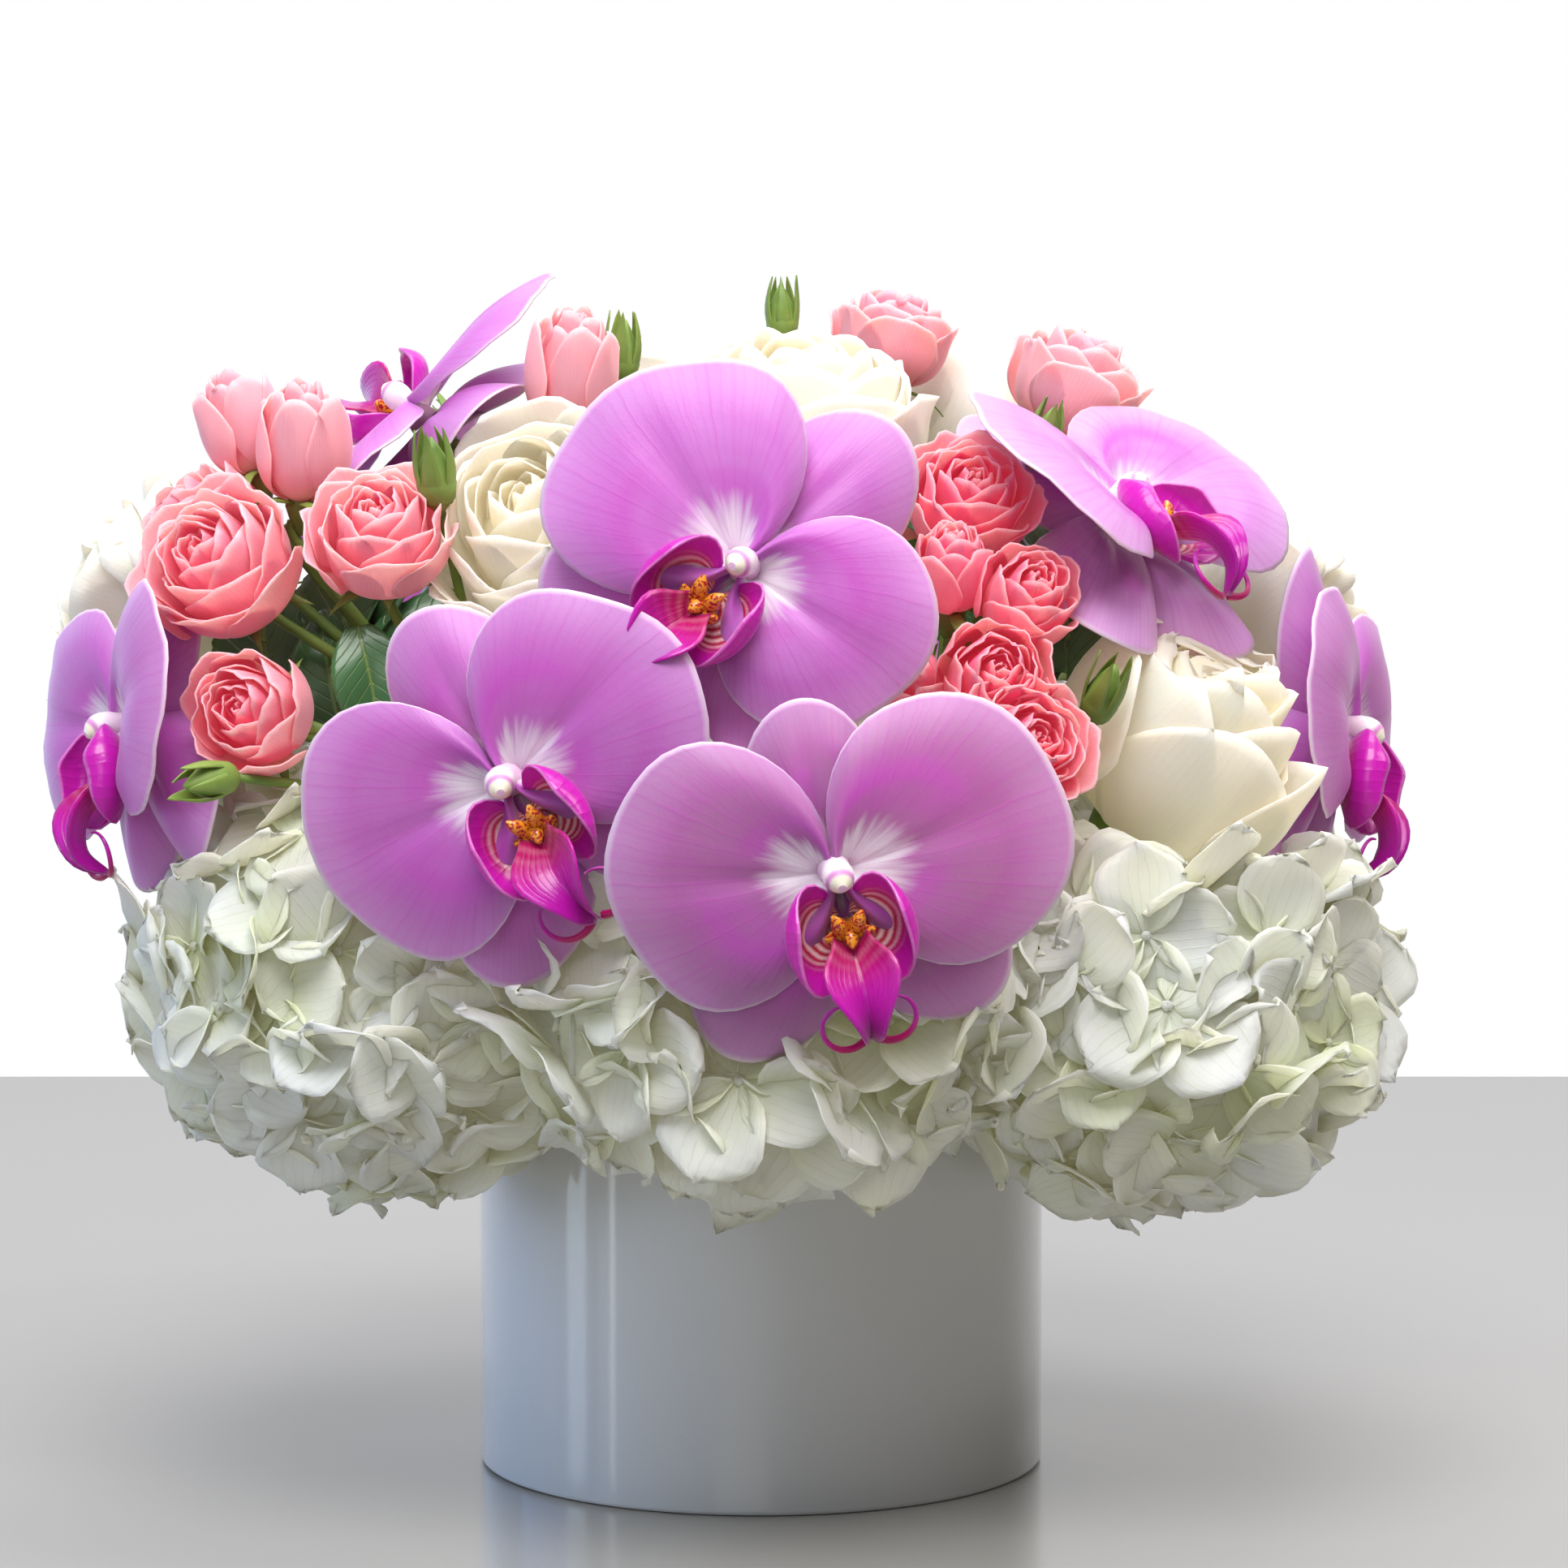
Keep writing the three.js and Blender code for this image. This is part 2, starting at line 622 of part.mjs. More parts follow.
// ---------------------------------------------------------------- roses
// One rose petal, wrapped round the bud. Its left edge is tucked in and its right edge stands proud, so
// that the petals of a ring lie over one another like tiles.
function rosePetal({ radius, height }, { belly, lip, top, turn, spread, tuck }) {
  const [rootOut, rootRise, waist] = [0.22, 0.05, 0.5];
  return (u, v) => {
    const upper = v > PETAL_WAIST;
    const t = upper ? (v - PETAL_WAIST) / (1 - PETAL_WAIST) : v / PETAL_WAIST;
    const out = upper ? mix(belly, lip, t) : mix(rootOut, belly, t);
    const rise = upper ? mix(waist, top, t) : mix(rootRise, waist, t);
    const angle = turn + u * spread * (upper ? 1 : t);
    const reach = radius * (out + tuck * u * Math.min(1, v / PETAL_WAIST));
    const round = upper ? 0.2 * t * u * u : 0;
    return new THREE.Vector3(reach * Math.cos(angle), reach * Math.sin(angle), height * (rise - round));
  };
}

function roseBloom(bloom) {
  const { radius, height, open } = bloom;
  const small = radius < 24;
  const heart = small ? mix(0.7, 0.44, open) : 0.36;
  const bud = turned(
    [
      [0, 0],
      [radius * 0.3, 0],
      [radius * heart, height * 0.5],
      [radius * heart * 0.6, height * 0.95],
      [0, height * 0.86],
    ],
    5,
  );
  const ring = (count, turn, shape) =>
    Array.from({ length: count }, (_, i) => {
      const surface = rosePetal(bloom, { ...shape, turn: turn + (2 * Math.PI * i) / count });
      return blade(surface, 2, [0, PETAL_WAIST, 1], small ? 1.6 : 2, true);
    });
  const blown = { lip: mix(0.84, 1.04, open), top: mix(0.98, 0.8, open), tuck: 0.11 };
  const petals = [];
  if (!small) {
    petals.push(...ring(5, 0, { ...blown, belly: 0.87, spread: degrees(43) }));
    petals.push(...ring(3, 0.7, { belly: 0.59, lip: 0.56, top: 1, tuck: 0.06, spread: degrees(66) }));
  } else if (open < 0.5) {
    petals.push(...ring(3, 0, { ...blown, belly: 0.9, spread: degrees(66) }));
  } else {
    petals.push(...ring(5, 0, { ...blown, belly: 0.8, spread: degrees(43) }));
  }
  return moved(join([bud, ...petals]), flowerFrame(bloom));
}

// Cup under a bloom that runs down into its stem, with five pointed sepals.
function calyx(bloom) {
  const small = bloom.radius < 24;
  const size = small ? 4 : 6.5;
  const reach = small ? 13 : 20;
  const outline = [];
  for (let i = 0; i < 5; i++) {
    const middle = (2 * Math.PI * i) / 5;
    outline.push([middle - Math.PI / 5, size, -1.2], [middle, reach, -3]);
  }
  const cup = { neck: small ? 0 : size * 0.7, neckHeight: -size, apex: -size * 2.2 };
  return moved(lobedSheet(outline, 2, { apex: -0.6 }, cup), flowerFrame(bloom));
}

function leaf({ at, faces, roll, size }) {
  const surface = leafSurface({
    root: [0, -3, 3],
    aim: degrees(90),
    reach: LEAF_LENGTH * size,
    half: LEAF_HALF_WIDTH * size,
    dome: 4,
    back: 3,
  });
  return moved(blade(surface, 2, [0, 0.45, 0.97], 0.9), flowerFrame({ at, faces, roll }));
}

const whiteRosePath = (bloom) => {
  const bend = behindBloom(bloom, 26);
  return [behindBloom(bloom, 5), bend, footOf(bend)];
};

const whiteRoseStem = (bloom) => join([calyx(bloom), stem(whiteRosePath(bloom), ROOTED_STEM, 2, 4)]);

function budSolid({ at, faces, length }) {
  const pod = turned([[0, 0], [length * 0.3, length * 0.3], [length * 0.2, length * 0.7], [0, length]], 4);
  return moved(pod, flowerFrame({ at, faces }));
}

// One stem with a branch for each bloom, bud and leaf, each from a place of its own along it.
function pinkSprayGreens({ fork, foot, clusters, buds, leaves }) {
  const parts = [stem([fork, foot], ROOTED_STEM, 1)];
  let started = 0;
  const branch = (end, radius, straight) => {
    const from = vector(fork).lerp(vector(foot), 0.03 + 0.045 * started++).toArray();
    const path = straight ? [from, behindBloom(end, -3)] : [from, behindBloom(end, 13), behindBloom(end, 3)];
    parts.push(stem(path, radius, 2, 3));
  };
  for (const bloom of clusters.flat()) {
    parts.push(calyx(bloom));
    branch(bloom, 1.3);
  }
  for (const bud of buds) {
    parts.push(budSolid(bud));
    branch(bud, 1.1, true);
  }
  for (const place of leaves) {
    parts.push(leaf(place));
    branch(place, 1.0, true);
  }
  return join(parts);
}

// ---------------------------------------------------------------- assembly
const centrepiece = new THREE.Group();
const placed = [];

const boxesMeet = (a, b, margin) =>
  [0, 1, 2].every((k) => a.min[k] - margin < b.max[k] && b.min[k] - margin < a.max[k]);

// Cuts a shape clear of a neighbour. A fine edge can stand out of the widened neighbour, so there the
// neighbour itself is taken off again, moved a little each way.
function clearedOf(shape, { solid, wide }) {
  const cut = shape.subtract(wide);
  if (cut.intersect(solid).volume() < TOUCH) return cut;
  const ways = [[GAP, 0, 0], [-GAP, 0, 0], [0, GAP, 0], [0, -GAP, 0], [0, 0, GAP], [0, 0, -GAP]];
  return ways.reduce((rest, way) => rest.subtract(solid.translate(...way)), cut.subtract(solid));
}

// Adds one piece. What would cross a piece that is already there is cut clear of it, and scraps are dropped.
function place(name, solid, colour, roughness = 0.6) {
  let shape = solid;
  for (const other of placed) {
    if (!boxesMeet(shape.boundingBox(), other.box, GAP)) continue;
    other.wide ??= grown(other.solid, GAP);
    shape = clearedOf(shape, other);
  }
  shape = shape.decompose().sort((a, b) => b.volume() - a.volume())[0];
  placed.push({ solid: shape, box: shape.boundingBox() });
  const mesh = shape.getMesh();
  const geometry = new THREE.BufferGeometry();
  geometry.setAttribute("position", new THREE.BufferAttribute(new Float32Array(mesh.vertProperties), 3));
  geometry.setIndex(new THREE.BufferAttribute(new Uint32Array(mesh.triVerts), 1));
  geometry.computeVertexNormals();
  const material = new THREE.MeshStandardMaterial({ color: colour, roughness, metalness: 0 });
  const piece = new THREE.Mesh(geometry, material);
  piece.name = name;
  centrepiece.add(piece);
}

place("vase", vaseSolid(), COLOURS.vase, 0.12);
for (const spray of ORCHID_SPRAYS) place(`orchid_spike_${spray.name}`, orchidSpike(spray), COLOURS.spike);
WHITE_ROSES.forEach((bloom, i) => place(`white_rose_stem_${i + 1}`, whiteRoseStem(bloom), COLOURS.green));
for (const spray of PINK_SPRAYS) {
  place(`pink_spray_stems_${spray.name}`, pinkSprayGreens(spray), COLOURS.green);
}
for (const spray of ORCHID_SPRAYS) {
  spray.blooms.forEach((bloom, i) => {
    place(`orchid_lip_${spray.name}_${i + 1}`, orchidLip(bloom), COLOURS.lip);
  });
}
for (const spray of ORCHID_SPRAYS) {
  spray.blooms.forEach((bloom, i) => {
    place(`orchid_tepals_${spray.name}_${i + 1}`, orchidTepals(bloom), COLOURS.orchid);
  });
}
for (const spray of PINK_SPRAYS) {
  spray.clusters.forEach((cluster, i) => {
    place(`pink_roses_${spray.name}_${i + 1}`, join(cluster.map(roseBloom)), COLOURS.pink);
  });
}
WHITE_ROSES.forEach((bloom, i) => place(`white_rose_${i + 1}`, roseBloom(bloom), COLOURS.white));
HYDRANGEA_HEADS.forEach((head, i) => {
  place(`hydrangea_head_${i + 1}`, hydrangeaHead(head, i), COLOURS.hydrangea);
});
const drilledFoam = foamHoles().reduce((block, hole) => block.subtract(hole), foamSolid());
place("floral_foam", drilledFoam, COLOURS.foam, 0.95);

export default centrepiece;
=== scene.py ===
"""The looks of a round table centrepiece: a glazed vase with hydrangeas, orchids, roses and greenery.

Lengths in the tables and in the flower shapes are millimetres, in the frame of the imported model: +Z up, the
origin in the middle of the vase's foot, and the front of the piece towards -Y.
"""

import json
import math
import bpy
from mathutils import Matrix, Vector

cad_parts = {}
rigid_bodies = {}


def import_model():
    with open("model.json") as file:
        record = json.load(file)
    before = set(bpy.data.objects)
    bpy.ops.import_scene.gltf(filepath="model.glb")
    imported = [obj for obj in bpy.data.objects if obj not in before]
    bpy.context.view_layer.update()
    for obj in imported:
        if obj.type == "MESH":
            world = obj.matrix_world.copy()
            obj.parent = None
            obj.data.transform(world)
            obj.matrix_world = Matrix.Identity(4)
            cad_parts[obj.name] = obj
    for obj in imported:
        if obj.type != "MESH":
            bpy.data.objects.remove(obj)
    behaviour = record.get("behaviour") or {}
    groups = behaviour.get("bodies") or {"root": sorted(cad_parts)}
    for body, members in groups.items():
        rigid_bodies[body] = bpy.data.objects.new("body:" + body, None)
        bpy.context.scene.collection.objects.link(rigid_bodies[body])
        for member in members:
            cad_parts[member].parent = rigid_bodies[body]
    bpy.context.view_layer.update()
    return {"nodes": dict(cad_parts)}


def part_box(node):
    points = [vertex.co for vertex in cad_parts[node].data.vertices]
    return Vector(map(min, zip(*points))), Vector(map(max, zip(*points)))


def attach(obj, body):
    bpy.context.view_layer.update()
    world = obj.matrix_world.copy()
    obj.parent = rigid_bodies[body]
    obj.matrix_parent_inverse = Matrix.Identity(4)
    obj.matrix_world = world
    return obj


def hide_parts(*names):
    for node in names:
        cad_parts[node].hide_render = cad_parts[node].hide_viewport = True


bl_info = {
    "name": "Floral Centrepiece",
    "version": (1, 0, 0),
    "blender": (4, 5, 0),
    "location": "View3D > Sidebar > Centrepiece",
    "description": "Builds the flowers, greenery and vase of a table centrepiece",
    "category": "Add Mesh",
}

from collections import namedtuple

import bpy
import numpy as np
from mathutils import Vector

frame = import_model()
MM = 0.001
GOLDEN_ANGLE = math.pi * (3 - math.sqrt(5))
# Where each kind's random draws start. A numbered piece adds its number.
SEEDS = {"head": 10, "floret": 40, "orchid": 100, "white rose": 200}
SEEDS |= {"pink roses": 300, "green": 500, "foliage": 700}

# ------------------------------------------------------------------ where each flower is
Orchid = namedtuple("Orchid", "node at faces roll size tone left right dorsal cup")
Rose = namedtuple("Rose", "at faces radius height open")
Bud = namedtuple("Bud", "at faces length")
Leaf = namedtuple("Leaf", "at faces roll size")
Head = namedtuple("Head", "turn reach height")

# at: the middle of the bloom. faces: the way it looks. roll: degrees clockwise seen from in front.
# size: of the whole bloom beside the usual. tone: -1 is a pale lilac, 0 a clear one and 1 a dusty rose.
# left, right and dorsal: how long those tepals are beside the usual. cup: degrees that the petals lean
# forward.
ORCHIDS = [
    Orchid("front_1", (-4, -132, 242), (-0.08, -0.98, 0.18), 45, 1.0, -0.1, 1.05, 0.9, 1.04, 2),
    Orchid("front_2", (-58, -146, 192), (-0.22, -0.97, -0.02), -36, 1.0, 0.25, 1.02, 0.97, 0.96, 0),
    Orchid("front_3", (18, -168, 172), (0.1, -0.99, -0.04), -12, 1.0, 0.9, 0.99, 1.05, 0.82, -2),
    Orchid("left_1", (-90, -14, 280), (-0.72, -0.06, 0.69), 78, 1.0, 0.0, 1.0, 1.0, 1.0, 4),
    Orchid("left_2", (-160, -62, 200), (-0.9, -0.42, 0.05), -10, 0.95, 0.2, 1.0, 1.0, 1.0, 12),
    Orchid("right_1", (90, -66, 255), (0.55, -0.37, 0.75), 4, 1.0, -0.7, 1.04, 1.04, 1.0, 16),
    Orchid("right_2", (150, -36, 198), (0.95, -0.3, -0.02), 10, 0.98, 0.3, 1.0, 1.0, 1.0, 6),
    Orchid("back_1", (94, 116, 210), (0.6, 0.77, 0.2), 24, 1.05, 0.0, 1.0, 1.0, 1.0, 0),
    Orchid("back_2", (-88, 120, 206), (-0.58, 0.8, 0.16), -40, 1.05, 0.3, 1.0, 1.0, 1.0, 0),
]
# Each spike: where it forks, and its foot in the foam.
SPIKES = {
    "front": ((-8, -72, 196), (-3, -22, 120)),
    "left": ((-84, -22, 214), (-24, -6, 126)),
    "right": ((84, -22, 206), (24, -6, 124)),
    "back": ((-4, 82, 184), (-8, 30, 120)),
}
# at: the base of the bloom. height: from there to its tip. open: 0 is a bud and 1 is full blown.
WHITE_ROSES = [
    Rose((10, -36, 258), (0.02, -0.28, 0.96), 36, 44, 0.8),
    Rose((-48, -58, 240), (-0.3, -0.76, 0.58), 33, 42, 0.8),
    Rose((-146, -2, 223), (-0.88, -0.2, 0.43), 35, 42, 1.0),
    Rose((93, -62, 180), (0.56, -0.45, 0.69), 38, 60, 0.4),
    Rose((125, 8, 214), (0.86, 0.12, 0.5), 36, 42, 1.0),
    Rose((-22, 26, 263), (-0.22, 0.3, 0.93), 33, 40, 0.9),
    Rose((52, 38, 259), (0.36, 0.42, 0.83), 33, 40, 0.8),
    Rose((4, 104, 226), (0.04, 0.84, 0.54), 37, 44, 0.9),
]
# Each spray of pink roses: its fork and foot, its clusters of blooms, its buds and its leaves.
PINK_SPRAYS = {
    "left": {
        "fork": (-84, -48, 204),
        "foot": (-24, -18, 128),
        "clusters": [
            [
                Rose((-130, -61, 235), (-0.4, -0.78, 0.48), 22, 30, 1),
                Rose((-133, -47, 243), (-0.75, -0.3, 0.58), 18, 27, 0.8),
            ],
            [Rose((-94, -73, 240), (-0.06, -0.7, 0.71), 19, 27, 1)],
            [
                Rose((-117, -56, 259), (0.02, -0.2, 0.98), 13, 31, 0.2),
                Rose((-130, -47, 266), (-0.3, 0.0, 0.95), 12, 27, 0.3),
            ],
            [Rose((-122, -80, 203), (-0.3, -0.92, 0.24), 17, 27, 0.7)],
        ],
        "buds": [
            Bud((-80, -82, 258), (-0.1, -0.25, 0.96), 17),
            Bud((-130, -104, 191), (-0.6, -0.78, -0.1), 16),
        ],
        "leaves": [Leaf((-100, -80, 224), (0.1, -0.96, 0.1), 168, 0.7)],
    },
    "top": {
        "fork": (8, 0, 226),
        "foot": (2, 0, 140),
        "clusters": [
            [Rose((-50, -46, 278), (0.08, -0.22, 0.97), 13, 31, 0.25)],
            [Rose((78, -4, 277), (0.42, -0.12, 0.9), 19, 28, 0.9)],
            [Rose((33, 12, 290), (0.2, -0.06, 0.97), 17, 25, 0.9)],
        ],
        "buds": [
            Bud((-37, -20, 290), (0.1, -0.1, 0.99), 16),
            Bud((6, 16, 302), (-0.05, 0.0, 1.0), 15),
        ],
        "leaves": [],
    },
    "right": {
        "fork": (44, -66, 192),
        "foot": (14, -24, 124),
        "clusters": [
            [
                Rose((51, -75, 250), (0.12, -0.74, 0.67), 17.5, 25, 1),
                Rose((47, -99, 233), (0.02, -0.5, 0.87), 11, 22, 0.4),
            ],
            [
                Rose((62, -97, 229), (0.3, -0.8, 0.52), 13.5, 24, 0.7),
                Rose((56, -105, 211), (0.12, -0.93, 0.34), 15, 26, 0.6),
                Rose((38, -103, 209), (-0.2, -0.86, 0.47), 11, 23, 0.3),
                Rose((60, -113, 196), (0.34, -0.9, 0.26), 16.5, 26, 1),
            ],
        ],
        "buds": [
            Bud((82, -108, 206), (0.3, -0.5, 0.81), 16),
            Bud((70, -62, 268), (0.3, -0.2, 0.93), 15),
        ],
        "leaves": [Leaf((70, -66, 232), (0.5, -0.5, 0.7), -40, 0.9)],
    },
    "back": {
        "fork": (0, 56, 214),
        "foot": (-2, 12, 132),
        "clusters": [
            [
                Rose((49, 80, 247), (0.28, 0.64, 0.72), 21, 28, 1),
                Rose((16, 82, 256), (0.14, 0.5, 0.86), 20, 28, 0.9),
                Rose((-18, 82, 256), (-0.1, 0.5, 0.86), 20, 28, 0.9),
                Rose((-51, 76, 249), (-0.26, 0.58, 0.77), 21, 28, 1),
            ],
        ],
        "buds": [
            Bud((2, 66, 284), (0.1, 0.3, 0.95), 16),
            Bud((-84, 50, 272), (-0.5, 0.4, 0.77), 16),
        ],
        "leaves": [
            Leaf((30, 80, 208), (0.25, 0.75, 0.6), 140, 1.15),
            Leaf((-30, 80, 208), (-0.25, 0.75, 0.6), -150, 1.15),
        ],
    },
}
# Each leaf in the depths: degrees round the vase from its front towards +X, how far out and how high its
# base is, and how far it leans back.
FOLIAGE = [
    (-74, 106, 198, 12),
    (-63, 98, 194, 8),
    (-84, 102, 206, 14),
    (-70, 88, 214, 20),
    (-62, 70, 196, 20),
    (-48, 76, 188, 10),
    (-76, 78, 204, 30),
    (-55, 52, 222, 35),
    (-90, 84, 196, 15),
    (-30, 66, 206, 30),
    (38, 58, 214, 30),
    (62, 70, 208, 25),
    (92, 82, 196, 20),
    (118, 78, 202, 30),
    (145, 66, 206, 30),
    (172, 62, 202, 25),
    (205, 66, 206, 30),
    (232, 74, 204, 30),
    (252, 82, 200, 25),
    (80, 58, 226, 20),
    (105, 62, 224, 20),
    (-100, 60, 226, 20),
    (-125, 62, 224, 20),
]
# Leaves that close the view between the stems at the left and the right.
BACKING = [
    Leaf((-112, -10, 204), (-0.3, -0.95, 0.1), 8, 1.15),
    Leaf((-125, -22, 200), (-0.45, -0.88, 0.1), -12, 1.1),
    Leaf((-98, -34, 198), (-0.3, -0.9, 0.2), 26, 1.05),
    Leaf((-106, -46, 196), (-0.2, -0.95, 0.2), -16, 0.85),
    Leaf((78, -40, 216), (0.3, -0.9, 0.3), 0, 1.0),
    Leaf((62, -34, 214), (0.1, -0.95, 0.3), -20, 1.0),
]
# turn: degrees round the vase from its front, towards +X. reach and height: how far out from the vase's axis
# and how high the middle of the head is.
HEADS = [
    Head(0, 107, 144),
    Head(56, 117, 133),
    Head(120, 116, 137),
    Head(180, 116, 137),
    Head(240, 116, 137),
    Head(304, 117, 137),
]


# ------------------------------------------------------------------ settings that a user would change
def length(name, description, default):
    """A length in millimetres."""
    return bpy.props.FloatProperty(name=name, description=description, default=default, min=0.01)


def colour(name, description, default):
    """A colour in linear light."""
    return bpy.props.FloatVectorProperty(
        name=name, description=description, default=default, size=3, min=0.0, max=1.0, subtype="COLOR"
    )


def cad_vase_radius():
    """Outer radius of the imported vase, in millimetres."""
    low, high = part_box("vase")
    return (high.x - low.x) / 2 / MM


def cad_vase_height():
    """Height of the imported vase, in millimetres."""
    low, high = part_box("vase")
    return (high.z - low.z) / MM


class VaseSettings(bpy.types.PropertyGroup):
    radius: length("Radius", "Outer radius of the vase, mm", cad_vase_radius())
    height: length("Height", "Height of the vase, mm", cad_vase_height())
    wall: length("Wall", "Thickness of the wall, mm", 4.0)
    floor: length("Floor", "Thickness of the floor, mm", 6.0)
    rounding: length("Rounding", "Radius of the rounded foot and rim, mm", 1.5)
    glaze: colour("Glaze", "Colour of the glaze", (0.68, 0.683, 0.688))


class OrchidSettings(bpy.types.PropertyGroup):
    petal: length("Petal", "From the middle of the bloom to the edge of a petal, mm", 50.0)
    sepal: length("Sepal", "From the middle of the bloom to the tip of a sepal, mm", 49.0)
    lobe: length("Lip lobe", "Length of a side lobe of the lip, mm", 16.0)
    tongue: length("Lip tongue", "Length of the middle lobe of the lip, mm", 24.0)
    lilac: colour("Lilac", "Colour of the tepals", (0.50, 0.13, 0.52))
    flush: colour("Flush", "Deeper colour near the middle and in the veins", (0.50, 0.05, 0.46))
    dusky: colour("Dusky", "Tepal colour of a dusty bloom", (0.34, 0.125, 0.29))
    magenta: colour("Magenta", "Colour of the lip", (0.44, 0.003, 0.33))


class RoseSettings(bpy.types.PropertyGroup):
    white_petals: bpy.props.IntProperty(name="White petals", description="Petals of a white rose", default=32)
    pink_petals: bpy.props.IntProperty(name="Pink petals", description="Petals of a pink rose", default=28)
    cream: colour("Cream", "Outer petals of the white roses", (0.87, 0.84, 0.77))
    heart: colour("Heart", "Heart of the white roses", (0.86, 0.765, 0.52))
    blush: colour("Blush", "Outer petals of the pink roses", (0.96, 0.40, 0.46))
    coral: colour("Coral", "Inner petals of the pink roses", (0.97, 0.11, 0.26))


class HydrangeaSettings(bpy.types.PropertyGroup):
    reach: length("Reach", "From the middle of a head to its florets, mm", 54.0)
    sepal: length("Sepal", "Length of a sepal, mm", 24.0)
    spacing: length("Spacing", "Least distance between florets, mm", 17.0)
    core: length("Core", "Radius of the branching middle, mm", 32.0)
    cream: colour("Cream", "Colour of the sepals", (0.83, 0.84, 0.73))
    green: colour("Green", "Green tint of younger sepals", (0.62, 0.70, 0.37))


class GreenSettings(bpy.types.PropertyGroup):
    stem: length("Stem", "Radius of a stem that stands in the foam, mm", 2.6)
    leaf: length("Leaf", "Length of a leaf, mm", 46.0)
    fresh: colour("Fresh", "Colour of sepals, buds and young stems", (0.25, 0.36, 0.07))
    deep: colour("Deep", "Colour of the leaves", (0.03, 0.11, 0.04))
    foam: colour("Foam", "Colour of the soaked foam", (0.03, 0.09, 0.035))


class StageSettings(bpy.types.PropertyGroup):
    floor: colour("Floor", "Colour of the table", (0.30, 0.296, 0.292))
    lens: bpy.props.FloatProperty(
        name="Lens", description="Focal length", default=102.5, unit="CAMERA", min=10.0
    )


SETTINGS = {
    "centrepiece_vase": VaseSettings,
    "centrepiece_orchids": OrchidSettings,
    "centrepiece_roses": RoseSettings,
    "centrepiece_hydrangeas": HydrangeaSettings,
    "centrepiece_greens": GreenSettings,
    "centrepiece_stage": StageSettings,
}


# ------------------------------------------------------------------ shader maths
class Shade:
    """A socket in a node tree, so that maths on it reads as Python."""

    def __init__(self, graph, socket):
        self.graph = graph
        self.socket = socket

    def math(self, operation, *values):
        settings = {"operation": operation}
        return self.graph.node("ShaderNodeMath", settings, dict(enumerate(values)))

    def __add__(self, other):
        return self.math("ADD", self, other)

    __radd__ = __add__

    def __sub__(self, other):
        return self.math("SUBTRACT", self, other)

    def __rsub__(self, other):
        return self.math("SUBTRACT", other, self)

    def __mul__(self, other):
        return self.math("MULTIPLY", self, other)

    __rmul__ = __mul__

    def __pow__(self, other):
        return self.math("POWER", self, other)

    def __abs__(self):
        return self.math("ABSOLUTE", self)

    def sine(self):
        return self.math("SINE", self)

    def clamped(self):
        return self.math("MINIMUM", self.math("MAXIMUM", self, 0.0), 1.0)

    def other(self, output):
        """Another output of the same node."""
        return Shade(self.graph, self.socket.node.outputs[output])

    def ramp(self, start, end):
        """0 before start, 1 after end, and smooth between them."""
        settings = {"interpolation_type": "SMOOTHSTEP"}
        return self.graph.node("ShaderNodeMapRange", settings, {0: self, 1: start, 2: end, 3: 0.0, 4: 1.0})


class Graph:
    """A node tree that is built from Python expressions."""

    def __init__(self, tree):
        self.nodes = tree.nodes
        self.links = tree.links

    def node(self, kind, settings=None, inputs=None, output=0):
        """Adds a node: its settings first, then the values or links of its sockets."""
        node = self.nodes.new(kind)
        for setting, value in (settings or {}).items():
            setattr(node, setting, value)
        for socket, value in (inputs or {}).items():
            self.put(node.inputs[socket], value)
        return Shade(self, node.outputs[output])

    def put(self, socket, value):
        if isinstance(value, Shade):
            self.links.new(value.socket, socket)
        elif socket.type == "RGBA":
            socket.default_value = (*value, 1.0)
        else:
            socket.default_value = value

    def blend(self, factor, first, second):
        """A colour between two colours, which are sockets 6 and 7 of a Mix node."""
        return self.node("ShaderNodeMix", {"data_type": "RGBA"}, {0: factor, 6: first, 7: second}, 2)


class Finish(Graph):
    """A material with one Principled shader."""

    def __init__(self, name, **constants):
        self.material = bpy.data.materials.new(name)
        self.material.use_nodes = True
        super().__init__(self.material.node_tree)
        self.shader = self.nodes["Principled BSDF"]
        for socket, value in constants.items():
            self.shader.inputs[socket.replace("_", " ")].default_value = value

    def set(self, socket, value):
        self.put(self.shader.inputs[socket], value)

    def place(self):
        """The object's own coordinates, in metres."""
        return self.node("ShaderNodeTexCoord", output="Object")

    def sheet_uv(self):
        """Across a petal from -1 to 1, and out along it from 0 to 1."""
        uv = self.node("ShaderNodeUVMap", {"uv_map": "petal"})
        across = self.node("ShaderNodeSeparateXYZ", inputs={0: uv})
        return uv, across * 2.0 - 1.0, across.other(1)

    def attribute(self, name):
        return self.node("ShaderNodeAttribute", {"attribute_name": name}, output="Fac")

    def noise(self, vector, scale, detail=3.0, roughness=0.5):
        inputs = {"Vector": vector, "Scale": scale, "Detail": detail, "Roughness": roughness}
        return self.node("ShaderNodeTexNoise", None, inputs)

    def stretched(self, vector, scale):
        settings = {"operation": "MULTIPLY"}
        return self.node("ShaderNodeVectorMath", settings, {0: vector, 1: scale})

    def bump(self, height, distance, strength):
        inputs = {"Height": height, "Distance": distance, "Strength": strength}
        self.set("Normal", self.node("ShaderNodeBump", None, inputs))


def vein_lines(across, warp, count, sharpness):
    """Fine lines that fan out from a petal's root: 1 on a line and 0 between two."""
    wave = abs((across * (count * math.pi / 2) + warp).sine())
    return (1.0 - wave) ** sharpness


